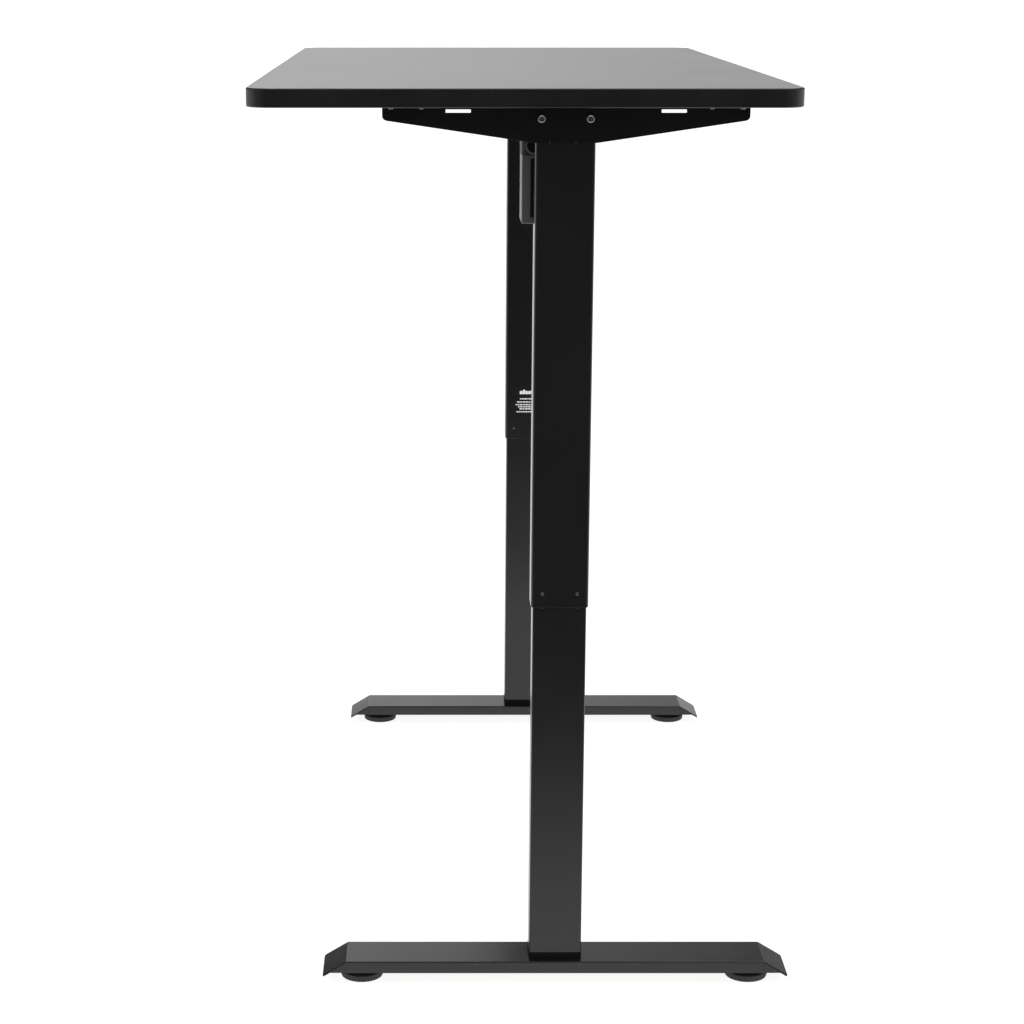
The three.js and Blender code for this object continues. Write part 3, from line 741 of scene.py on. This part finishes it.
class DESK_OT_feet(bpy.types.Operator):
    """Folds the feet and adds their levelling pads and studs"""

    bl_idname = "desk.feet"
    bl_label = "Feet"

    lip, lip_drop, lip_corner = 33.5 * MM, 20.5 * MM, 3.5 * MM
    flange_depth = 17 * MM
    weld_spots = (-112, -30, 30, 112)
    thread_pitch, thread_root, thread_crest = 1.25 * MM, 3.4 * MM, 4.0 * MM

    def foot_rings(self, low, high, sheet, bend):
        """Sections across the foot: a channel whose top runs out into a lip at each end."""
        half, width, top = (high[1] - low[1]) / 2, high[0] - low[0], high[2]
        flat = half - self.lip
        slope = self.lip_drop / self.lip
        soft, shares = 1.2 * MM, (0.0, 0.25, 0.5, 0.75, 1.0)
        # Each station: Y, how far the top has fallen, how far the sides are drawn in.
        stations = [(flat - soft + 2 * soft * t, slope * soft * t * t, 0.0) for t in shares]
        notch = (self.flange_depth - sheet) / slope
        stations.append((flat + notch, slope * notch, 0.0))
        for a, b in quarter(self.lip_corner, 5):
            y = half - self.lip_corner + b
            stations.append((y, slope * (y - flat), self.lip_corner - a))
        rings = []
        for y, fall, inset in [(-y, fall, inset) for y, fall, inset in reversed(stations)] + stations:
            z = top - fall
            under = min(top - self.flange_depth, z - sheet)
            # Beneath the lip the flange stands a little inside the lip's edge.
            step = 0.8 * MM if abs(y) > flat else 0.0
            out = width / 2 - inset
            outside = [(out - step, under), (out - step, z - sheet), (out, z - sheet + 0.02 * MM)]
            outside += [(out - bend + a, z - bend + b) for a, b in quarter(bend, 6)]
            inn, r = out - sheet, min(max(bend - sheet, 0.4 * MM), z - sheet - under)
            inside = [(inn, under)] + [(inn - r + a, z - sheet - r + b) for a, b in quarter(r, 4)]
            ring = outside + [(-x, zz) for x, zz in reversed(outside)]
            ring += [(-x, zz) for x, zz in inside] + inside[::-1]
            rings.append([(x, y, zz) for x, zz in ring])
        return rings

    def execute(self, context):
        steel, fitting = context.scene.desk_steel, context.scene.desk_fittings
        for side in SIDES:
            place, body = leg_place(side), BASE_OF[side]
            low, high = leg_box("foot_beam", side)
            bm = loft(self.foot_rings(low, high, steel.foot_sheet, steel.foot_bend))
            stud_y = abs(middle(*leg_box("level_stud_front", side))[1])
            for y in (-stud_y, stud_y):
                # A hexagonal nut welded under the foot's top.
                nut = loft(turned_rings(
                    ((7.6, -2.5), (7.6, -10.5), (6.8, -11.5), (4.3, -11.5), (4.2, -2.6)), 6, MM,
                ))
                merge(bm, nut, shift(0, y, high[2]))
            add_piece(
                bm, f"folded_foot_{side}", "coat",
                body, "frame", f"foot_beam_{side}", place=place, angle=28,
            )

            # Short weld runs on the outer flange, just under the fold.
            bm = bmesh.new()
            for y in self.weld_spots:
                run = loft([
                    [(a, b, z * MM) for a, b in rounded_outline(long * MM, tall * MM, tall * 0.49 * MM, 4)]
                    for z, long, tall in (
                        (-0.2, 17.0, 1.8), (0.0, 17.0, 1.8), (0.3, 15.8, 0.9), (0.38, 15.2, 0.4),
                    )
                ])
                merge(bm, run, shift(high[0], y * MM, high[2] - 2.8 * MM) @ OUTWARD)
            add_piece(bm, f"weld_runs_{side}", "weld", body, "frame", place=place)

            for end in ENDS:
                low, high = leg_box(f"level_pad_{end}", side)
                x, y, _ = middle(low, high)
                spot = place @ shift(x, y)
                level = f"{side}_{end}_level"
                bm = self.ribbed_pad((high[0] - low[0]) / 2, fitting.rib_count)
                add_piece(
                    bm, f"ribbed_pad_{end}_{side}", "pad",
                    level, "foot_plastic", f"level_pad_{end}_{side}", place=spot, angle=25,
                )
                low, high = leg_box(f"level_stud_{end}", side)
                add_piece(
                    self.stud(low[2], high[2]), f"threaded_stud_{end}_{side}", "plated",
                    level, "bright_steel", f"level_stud_{end}_{side}", place=spot,
                )
        return {"FINISHED"}

    def ribbed_pad(self, radius, ribs):
        """A round pad on the floor with grip ribs on its rim and a raised collar round its stud."""
        edge = radius / MM
        # Half a step ahead, so that rounding can't move a rib's edge.
        phase = math.pi / (4 * ribs)
        return loft([
            polar_ring(4 * ribs, z * MM, lambda angle: MM * (
                reach - (groove if (angle + phase) * ribs / (2 * math.pi) % 1 < 0.5 else 0)
            ))
            # Each ring: radius, height and depth of the grooves between the ribs, in mm.
            for reach, z, groove in (
                (edge / 2, 0.0, 0), (edge - 2.5, 0.0, 0), (edge - 0.8, 0.8, 0), (edge - 0.4, 2.2, 0),
                (edge, 2.8, 1.5), (edge, 8.2, 1.5), (edge - 0.5, 9.0, 0.3), (edge - 2.0, 9.8, 0),
                (edge - 3.0, 9.3, 0), (edge - 9, 10.2, 0), (edge - 18, 11.5, 0), (9.5, 12.5, 0),
                (8.6, 15.4, 0), (7.6, 16, 0), (4.2, 16, 0),
            )
        ])

    def stud(self, low, high):
        """A stud with a ring of thread at each pitch."""
        pitch, root, crest = self.thread_pitch, self.thread_root, self.thread_crest
        profile = [(root, low)]
        for i in range(int((high - low) / pitch)):
            z = low + pitch * i
            profile += [(root, z + 0.15 * pitch), (crest, z + 0.5 * pitch), (root, z + 0.85 * pitch)]
        return loft(turned_rings(profile + [(root - 0.2 * MM, high)], 20))


class DESK_OT_plate(bpy.types.Operator):
    """Lays the rating plate's print as plain blocks and dashes that spell nothing"""

    bl_idname = "desk.plate"
    bl_label = "Rating plate"

    # Blocks as (y, z, length, height) and rows of dashes as (z, length), in mm from the plate's middle.
    blocks = (
        (-10.2, 15.0, 5.6, 7.6), (-4.6, 14.2, 4.6, 6.0), (0.6, 14.2, 4.8, 6.0),
        (5.6, 15.4, 4.2, 8.4), (10.8, 14.2, 5.2, 6.0),
    )
    rows = ((2.6, 26), (-3.2, 36), (-8.2, 42), (-12.2, 32), (-16.0, 30), (-21.4, 38))
    dash_height, dash_gap = 2.1, 0.9

    def execute(self, context):
        low, high = leg_box("rating_plate", "left")
        face, (_, centre_y, centre_z) = low[0], middle(low, high)
        bars = [block + (1.4,) for block in self.blocks]
        for z, length in self.rows:
            start = -length / 2
            while start < length / 2 - 2:
                # Dash lengths wander between 2.4 and 5.5 mm.
                dash = min(2.4 + (start * 7.31 + z * 3.7) % 3.1, length / 2 - start)
                bars.append((start + dash / 2, z, dash, self.dash_height, 0.5))
                start += dash + self.dash_gap
        bm = bmesh.new()
        for y, z, length, tall, radius in bars:
            outline = rounded_outline(length * MM, tall * MM, radius * MM, 5)
            loft([
                [(x, centre_y + y * MM + a, centre_z + z * MM + b) for a, b in outline]
                for x in (face - 0.06 * MM, face)
            ], bm)
        add_piece(bm, "plate_print", "ink", "top", "plate", place=leg_place("left"))
        return {"FINISHED"}


class DESK_OT_motor(bpy.types.Operator):
    """Builds the motor's cover, its worm case and their screws"""

    bl_idname = "desk.motor"
    bl_label = "Motor"

    side, radius, wall = 70 * MM, 3.2 * MM, 2.2 * MM

    def execute(self, context):
        low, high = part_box("motor_cover_right")
        base, top = low[2], high[2]
        cx, cy = low[0] + self.side / 2, middle(*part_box("motor_can_right"))[1]
        self.cover(cx, cy, base, top)

        soften("worm_case_right", "cast_worm_case", "casting", "top", "casting", 0.8 * MM)
        low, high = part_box("worm_case_right")
        bm = bmesh.new()
        for x in (low[0] + 9 * MM, high[0] - 12 * MM):
            for z in (low[2] + 18 * MM, high[2] - 9 * MM):
                merge(bm, cap_screw(3.6, 2.4, 1.7, 1.4, 6), shift(x, low[1] + 2.4 * MM, z) @ HEAD_MINUS_Y)
        add_piece(bm, "worm_case_screws", "black_zinc", "top", "bolt")

        # A round boss with a black cap stands on the case's outer face, beside the column.
        place = shift(high[0], cy - 18 * MM, top + 13.5 * MM) @ HEAD_OUT
        boss = ((9.6, 0.1), (9.8, 1.6), (10.4, 2.0), (11.4, 2.0), (12, 1.4), (12, -0.3))
        cap = ((0.1, 1.0), (8.8, 1.0), (9.5, 0.6), (9.5, -0.3))
        for name, finish, slot, profile in (
            ("worm_case_boss", "motor_nylon", "casting", boss),
            ("worm_case_cap", "shaded_coat", "black_plastic", cap),
        ):
            bm = loft(turned_rings(profile, 48, MM))
            add_piece(bm, name, finish, "top", slot, place=place)
        return {"FINISHED"}

    def cover(self, cx, cy, base, top):
        """A square cup below the seam, with a proud bead at its base and raised panels on its outer face."""
        side, wall = self.side, self.wall

        def outline(inset):
            return rounded_outline(side - 2 * inset, side - 2 * inset, max(self.radius - inset, 1 * MM))

        inner_rim, middle_of_base = (top - 0.3 * MM, wall - 0.3 * MM), 20 * MM
        outside = [
            inner_rim, (top, wall - 0.6 * MM), (top, 0.9 * MM), (top - 0.5 * MM, 0.5 * MM),
            (base + 5.0 * MM, 0.5 * MM), (base + 4.6 * MM, 0.3 * MM), (base + 3.0 * MM, 0.3 * MM),
            (base + 1.0 * MM, 0.7 * MM), (base + 0.3 * MM, 1.4 * MM), (base, 2.4 * MM),
            (base, middle_of_base),
        ]
        inside = [inner_rim, (base + 3 * MM, wall), (base + 3 * MM, middle_of_base)]
        cover = bmesh.new()
        for levels in (outside, inside):
            loft(flat_rings(outline, levels), cover, capped=False)
            cover.faces.new(cover.verts[-len(outline(0)):])

        # Panels along the outer face, as (from, to, how proud) in mm, with a channel let in between, in the
        # darker coat as painted shade in the groove.
        channel = bmesh.new()
        face = side / 2 - 0.5 * MM
        tall, panel_z = top - base - 12 * MM, (top + base) / 2 + 2 * MM
        for target, start, end, proud in (
            (cover, -33.2, -23.4, 0.5), (channel, -22.8, -15.2, 0.3), (cover, -14.6, 30.0, 0.5),
        ):
            wide, y = (end - start) * MM, (start + end) / 2 * MM
            ring = rounded_outline(wide, tall, 1.2 * MM, 4)
            crown = rounded_outline(wide - 0.8 * MM, tall - 0.8 * MM, 0.8 * MM, 4)
            loft([
                [(face + x * MM, y + a, panel_z + b) for a, b in line]
                for x, line in ((-0.5, ring), (proud - 0.2, ring), (proud, crown))
            ], target)
        place = shift(cx, cy)
        # The channel's dark coat is painted shade.
        add_piece(channel, "motor_channel_painted_shade", "shaded_coat", "top", "black_plastic", place=place)
        add_piece(
            cover, "moulded_motor_cover", "motor_nylon",
            "top", "black_plastic", "motor_cover_right", place=place,
        )


class DESK_OT_frame(bpy.types.Operator):
    """Rounds the rails, leg heads and gear cases and fits their screws"""

    bl_idname = "desk.frame"
    bl_label = "Top frame"

    def execute(self, context):
        for side in SIDES:
            # The leg heads take the darker coat: painted shade under the board.
            soften(f"leg_head_{side}", f"pressed_leg_head_{side}", "shaded_coat", "top", "frame", 0.6 * MM)
            soften(f"gear_case_{side}", f"cast_gear_case_{side}", "casting", "top", "casting", 0.9 * MM)
            low, high = leg_box("gear_case", side)
            bm = bmesh.new()
            for face, turn in ((low[1], HEAD_MINUS_Y), (high[1], HEAD_PLUS_Y)):
                for x in (low[0] + 7 * MM, 12 * MM):
                    merge(bm, cap_screw(3.2, 2.2, 1.5, 1.3, 6), shift(x, face, high[2] - 12 * MM) @ turn)
            add_piece(bm, f"gear_case_screws_{side}", "black_zinc", "top", "bolt", place=leg_place(side))
            for end in ENDS:
                soften(f"end_rail_{end}_{side}", f"folded_end_rail_{end}_{side}", "coat", "top", "frame")
        for end in ENDS:
            soften(f"centre_rail_{end}", f"folded_centre_rail_{end}", "coat", "top", "frame")
            # Two screws at each end of the rail's outer wall lock the frame's width.
            low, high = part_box(f"centre_rail_{end}")
            face, turn = (low[1], HEAD_MINUS_Y) if end == "front" else (high[1], HEAD_PLUS_Y)
            bm = bmesh.new()
            for x in (low[0] + 18 * MM, low[0] + 58 * MM, high[0] - 58 * MM, high[0] - 18 * MM):
                spot = shift(x, face, (low[2] + high[2]) / 2 - 2 * MM)
                merge(bm, cap_screw(4.8, 3.0, 2.2, 1.9, 6), spot @ turn)
            add_piece(bm, f"rail_lock_screws_{end}", "black_zinc", "top", "bolt")
        soften("drive_rod", "drawn_hex_rod", "ground", "cross_drive", "bright_steel", 0.35 * MM)
        return {"FINISHED"}


class DESK_OT_controls(bpy.types.Operator):
    """Details the control box and the handset with its keys"""

    bl_idname = "desk.controls"
    bl_label = "Controls"

    rib_total, rib_start, rib_pitch = 14, 50 * MM, 12 * MM
    key_width, key_height = 13 * MM, 8 * MM

    def execute(self, context):
        soften("control_shell", "moulded_control_shell", "abs", "top", "black_plastic", 0.7 * MM)
        soften("control_lid", "pressed_control_lid", "coat", "top", "frame", 0.4 * MM)
        low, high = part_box("control_lid")
        box_low, box_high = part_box("control_shell")
        y = (low[1] + high[1]) / 2
        bm = bmesh.new()
        for x in ((low[0] + box_low[0]) / 2, (high[0] + box_high[0]) / 2):
            merge(bm, cap_screw(3.6, 2.4, 1.9, 1.4, 4), shift(x, y, low[2]) @ HEAD_DOWN)
        add_piece(bm, "control_lid_screws", "plated", "top", "bolt")

        # Cooling ribs along the underside of the box.
        bm = bmesh.new()
        for i in range(self.rib_total):
            rib = loft([
                [(a, b, z * MM) for a, b in rounded_outline(wide * MM, long * MM, 1.4 * MM, 4)]
                for wide, long, z in ((3.2, 62, 0.0), (3.2, 62, -0.8), (2.4, 61.2, -1.2))
            ])
            merge(bm, rib, shift(box_low[0] + self.rib_start + i * self.rib_pitch, y, box_low[2] + 0.1 * MM))
        add_piece(bm, "control_ribs", "abs", "top", "black_plastic")
        self.sockets(box_low[0])

        soften("handset_shell", "moulded_handset_shell", "abs", "top", "black_plastic", 0.9 * MM)
        soften("handset_face", "handset_face_plate", "abs", "top", "black_plastic", 0.35 * MM)
        up, down = [(-2.4, -1.3), (2.4, -1.3), (0, 1.5)], [(-2.4, 1.3), (2.4, 1.3), (0, -1.5)]
        self.key("up", [up])
        self.key("down", [down])
        for count in (1, 2, 3):
            dots = [circle_outline(0.75, 14, (i - (count - 1) / 2) * 2.6) for i in range(count)]
            self.key(f"memory_{count}", dots)
        return {"FINISHED"}

    def sockets(self, wall_x):
        """A liner with contacts behind each window in the box's end wall, from the stated openings."""
        liner, pins = bmesh.new(), bmesh.new()
        mouth, back = wall_x + 3 * MM, wall_x + 13 * MM
        for opening in frame["record"]["physics"]["openings"]:
            low, high = opening["box_m"]
            _, cy, cz = middle(low, high)
            wide, tall = high[1] - low[1], high[2] - low[2]
            rings = []
            for x, inset in ((back, 0.2), (mouth, 0.2), (mouth, 1.6), (back - 2 * MM, 2.0)):
                outline = rounded_outline(wide - inset * MM, tall - inset * MM, 1.2 * MM, 4)
                rings.append([(x, cy + a, cz + b) for a, b in outline])
            loft(rings, liner)
            # The wide window is the mains inlet with three contacts; the others carry four.
            count = 3 if wide > 18 * MM else 4
            for i in range(count):
                y = cy + (i - (count - 1) / 2) * (wide / (count + 0.6))
                outline = rounded_outline(1.4 * MM, tall * 0.45, 0.3 * MM, 2)
                ends = (back - 2.2 * MM, back - 6 * MM)
                loft([[(x, y + a, cz + b) for a, b in outline] for x in ends], pins)
        add_piece(liner, "socket_liners", "nylon", "top", "black_plastic")
        add_piece(pins, "socket_contacts", "nickel", "top", "bright_steel")

    def key(self, name, marks):
        """A crowned key with its raised marks, given as outlines in mm from the key's middle."""
        low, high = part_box(f"button_{name}")
        cx, _, cz = middle(low, high)
        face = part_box("handset_face")[0][1]
        rings = []
        for y, inset in (
            (high[1], -1.0), (face + 3.0 * MM, -1.0), (face + 2.9 * MM, 0.0), (face - 0.3 * MM, 0.0),
            (face - 0.8 * MM, 0.25), (face - 1.1 * MM, 0.8), (face - 1.25 * MM, 2.0),
        ):
            wide, tall = self.key_width - 2 * inset * MM, self.key_height - 2 * inset * MM
            outline = rounded_outline(wide, tall, max(2.0 - inset, 0.6) * MM, 5)
            rings.append([(cx + a, y, cz + b) for a, b in outline])
        add_piece(loft(rings), f"key_{name}", "silicone", f"{name}_key", "key", f"button_{name}")

        bm = bmesh.new()
        for mark in marks:
            loft([[(cx + a * MM, face + y * MM, cz + b * MM) for a, b in mark] for y in (-1.15, -1.33)], bm)
        add_piece(bm, f"key_mark_{name}", "ink", f"{name}_key", "key")


class DESK_OT_finishes(bpy.types.Operator):
    """Gives every frame node its finish"""

    bl_idname = "desk.finishes"
    bl_label = "Finishes"

    def execute(self, context):
        for name, item in frame["nodes"].items():
            finish = next((key for key, starts in NODE_FINISH.items() if name.startswith(starts)), None)
            if finish is None:
                raise RuntimeError(f"no finish for {name}")
            item.data.materials.clear()
            item.data.materials.append(FINISH[finish])
        return {"FINISHED"}


class DESK_OT_stage(bpy.types.Operator):
    """Sets up the camera, the floor and the light"""

    bl_idname = "desk.stage"
    bl_label = "Stage"

    def execute(self, context):
        scene = context.scene
        settings = scene.desk_stage
        low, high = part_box("desktop")
        camera_data = bpy.data.cameras.new("camera")
        camera_data.lens = settings.lens
        camera_data.sensor_width = 36
        camera_data.shift_x = settings.camera_shift
        camera_data.clip_end = 200
        camera = bpy.data.objects.new("camera", camera_data)
        scene.collection.objects.link(camera)
        camera.location = (
            high[0] + settings.camera_distance,
            (low[1] + high[1]) / 2 - settings.camera_aside,
            high[2] + settings.camera_above,
        )
        camera.rotation_euler = (math.pi / 2 - settings.camera_tilt, 0, math.pi / 2)
        scene.camera = camera
        self.floor(scene, settings)
        self.world(scene, settings)

        # A wide soft light overhead, held back in reflections so that the board stays dark from above.
        light_data = bpy.data.lights.new("overhead", "AREA")
        light_data.shape = "RECTANGLE"
        light_data.size, light_data.size_y = 3.0, 3.0
        light_data.energy = settings.key_power
        light_data.specular_factor = 0.35
        light = bpy.data.objects.new("overhead", light_data)
        light.location = (0.3, 0.6, 3.6)
        light.rotation_euler = (math.radians(-8), 0, 0)
        scene.collection.objects.link(light)
        scene.view_settings.view_transform = "Standard"
        scene.view_settings.look = "None"
        return {"FINISHED"}

    def floor(self, scene, settings):
        """A wide, flat, pale floor, painted dark ahead of the desk for reflection rays only: a painted dark
        reflection in the desk's faces.
        """
        dark_start, dark_end, darkest = 0.60, 1.95, 0.985  # X from the desk's middle; share of the darkening
        glow_share = 0.80
        material = bpy.data.materials.new("painted_studio_floor")
        tree = empty_tree(material)
        place = add_node(tree, "ShaderNodeTexCoord", output="Object")
        ahead = add_node(tree, "ShaderNodeSeparateXYZ", {"Vector": place}, output="X")
        fade = add_node(tree, "ShaderNodeMapRange", {
            "Value": ahead, "From Min": dark_start, "From Max": dark_end, "To Min": 0.0, "To Max": darkest,
        }, interpolation_type="SMOOTHSTEP")
        mirrored = add_node(tree, "ShaderNodeLightPath", output="Is Glossy Ray")
        share = add_node(tree, "ShaderNodeMath", {0: fade, 1: mirrored}, operation="MULTIPLY")
        # Matt paint with faint broad mottling.
        mottle = add_node(tree, "ShaderNodeTexNoise", {
            "Vector": place, "Scale": per_metre(350), "Detail": 3.0,
        })
        pale = add_node(tree, "ShaderNodeMix", {
            "Factor": mottle, "A": linear(settings.floor, 0.985), "B": linear(settings.floor),
        }, output="Result", data_type="RGBA")
        # Near black for reflection rays ahead of the desk: painted dark reflection.
        colour = add_node(tree, "ShaderNodeMix", {
            "Factor": share, "A": pale, "B": (0.02, 0.02, 0.02, 1),
        }, output="Result", data_type="RGBA")
        # Lit from beneath like a light table, so that contact shadows all but vanish.
        painted = add_node(tree, "ShaderNodeMix", {
            "Factor": glow_share, "A": colour, "B": (0.0, 0.0, 0.0, 1),
        }, output="Result", data_type="RGBA")
        diffuse = add_node(tree, "ShaderNodeBsdfDiffuse", {"Color": painted})
        lit = add_node(tree, "ShaderNodeEmission", {"Color": colour, "Strength": settings.floor_glow})
        shader = add_node(tree, "ShaderNodeAddShader", {0: diffuse, 1: lit})
        add_node(tree, "ShaderNodeOutputMaterial", {"Surface": shader})
        material.cycles.emission_sampling = "NONE"
        bm = bmesh.new()
        bmesh.ops.create_grid(bm, x_segments=4, y_segments=4, size=30)
        mesh = bpy.data.meshes.new("floor")
        bm.to_mesh(mesh)
        bm.free()
        mesh.materials.append(material)
        floor = bpy.data.objects.new("floor", mesh)
        scene.collection.objects.link(floor)

    def world(self, scene, settings):
        """White all round; reflections see a bright cloth behind the desk and soft boxes beside and above it.

        Each level is a share of the light from a direction, whose X, Y and Z run from -1 to 1.
        """
        scene.world = bpy.data.worlds.new("studio")
        tree = empty_tree(scene.world)
        towards = add_node(tree, "ShaderNodeTexCoord", output="Generated")
        x = add_node(tree, "ShaderNodeSeparateXYZ", {"Vector": towards})
        y, z = x.node.outputs["Y"], x.node.outputs["Z"]
        aside = add_node(tree, "ShaderNodeMath", {0: y}, operation="ABSOLUTE")
        off_cloth = add_node(tree, "ShaderNodeMath", {0: y, 1: 0.03}, operation="SUBTRACT")
        off_cloth = add_node(tree, "ShaderNodeMath", {0: off_cloth}, operation="ABSOLUTE")
        level = {}
        for name, value, start, end, low, high in (
            # The cloth is no wider than the desk and hangs only behind it.
            ("cloth_width", off_cloth, 0.27, 0.42, 1.10, 0.0),
            ("cloth_behind", x, 0.0, -0.3, 0.0, 1.0),
            # It falls off towards the rear side, higher up.
            ("fall_aside", y, -0.06, 0.16, 0.0, 1.0),
            ("fall_up", z, 0.19, 0.34, 0.05, 0.87),
            # Soft boxes at both sides, and one overhead.
            ("sides", aside, 0.45, 0.80, 0.0, 0.45),
            ("sides_ahead", x, -0.45, -0.05, 0.0, 1.0),
            ("above", z, 0.55, 0.9, 0.0, 0.65),
        ):
            level[name] = add_node(tree, "ShaderNodeMapRange", {
                "Value": value, "From Min": start, "From Max": end, "To Min": low, "To Max": high,
            }, interpolation_type="SMOOTHSTEP")
        for name, operation, a, b in (
            ("cloth", "MULTIPLY", "cloth_width", "cloth_behind"),
            ("fall", "MULTIPLY", "fall_aside", "fall_up"),
            ("kept", "SUBTRACT", 1.0, "fall"),
            ("cloth", "MULTIPLY", "cloth", "kept"),
            ("sides", "MULTIPLY", "sides", "sides_ahead"),
            ("cloth", "MAXIMUM", "cloth", 0.03),
            ("boxes", "MAXIMUM", "sides", "above"),
            ("glow", "MAXIMUM", "cloth", "boxes"),
        ):
            level[name] = add_node(tree, "ShaderNodeMath", {
                0: level.get(a, a), 1: level.get(b, b),
            }, operation=operation)
        mirrored = add_node(tree, "ShaderNodeLightPath", output="Is Glossy Ray")
        strength = add_node(tree, "ShaderNodeMix", {
            0: mirrored, 2: settings.fill, 3: level["glow"],
        }, data_type="FLOAT")
        background = add_node(tree, "ShaderNodeBackground", {"Color": (1, 1, 1, 1), "Strength": strength})
        add_node(tree, "ShaderNodeOutputWorld", {"Surface": background})


# ---------------------------------------------------------------- panel and registration


OPERATORS = (
    DESK_OT_stage, DESK_OT_finishes, DESK_OT_board, DESK_OT_brackets, DESK_OT_columns, DESK_OT_feet,
    DESK_OT_plate, DESK_OT_motor, DESK_OT_frame, DESK_OT_controls,
)


class DESK_PT_panel(bpy.types.Panel):
    """Lists the desk's builders and their settings"""

    bl_label = "Standing Desk"
    bl_idname = "DESK_PT_panel"
    bl_space_type = "VIEW_3D"
    bl_region_type = "UI"
    bl_category = "Standing Desk"

    def draw(self, context):
        for operator in OPERATORS:
            self.layout.operator(operator.bl_idname)
        for name in SETTINGS:
            group = getattr(context.scene, name)
            box = self.layout.box()
            for key in group.__class__.__annotations__:
                box.prop(group, key)


def register():
    for kind in (*SETTINGS.values(), *OPERATORS, DESK_PT_panel):
        bpy.utils.register_class(kind)
    for name, group in SETTINGS.items():
        setattr(bpy.types.Scene, name, PointerProperty(type=group))


def unregister():
    for name in SETTINGS:
        delattr(bpy.types.Scene, name)
    for kind in (DESK_PT_panel, *reversed(OPERATORS), *SETTINGS.values()):
        bpy.utils.unregister_class(kind)


def main():
    register()
    FINISH.update(make_finishes(bpy.context.scene))
    bpy.ops.desk.stage()
    bpy.ops.desk.finishes()
    bpy.ops.desk.board()
    bpy.ops.desk.brackets()
    bpy.ops.desk.columns()
    bpy.ops.desk.feet()
    bpy.ops.desk.plate()
    bpy.ops.desk.motor()
    bpy.ops.desk.frame()
    bpy.ops.desk.controls()
    bpy.context.view_layer.update()


if __name__ == "__main__":
    main()
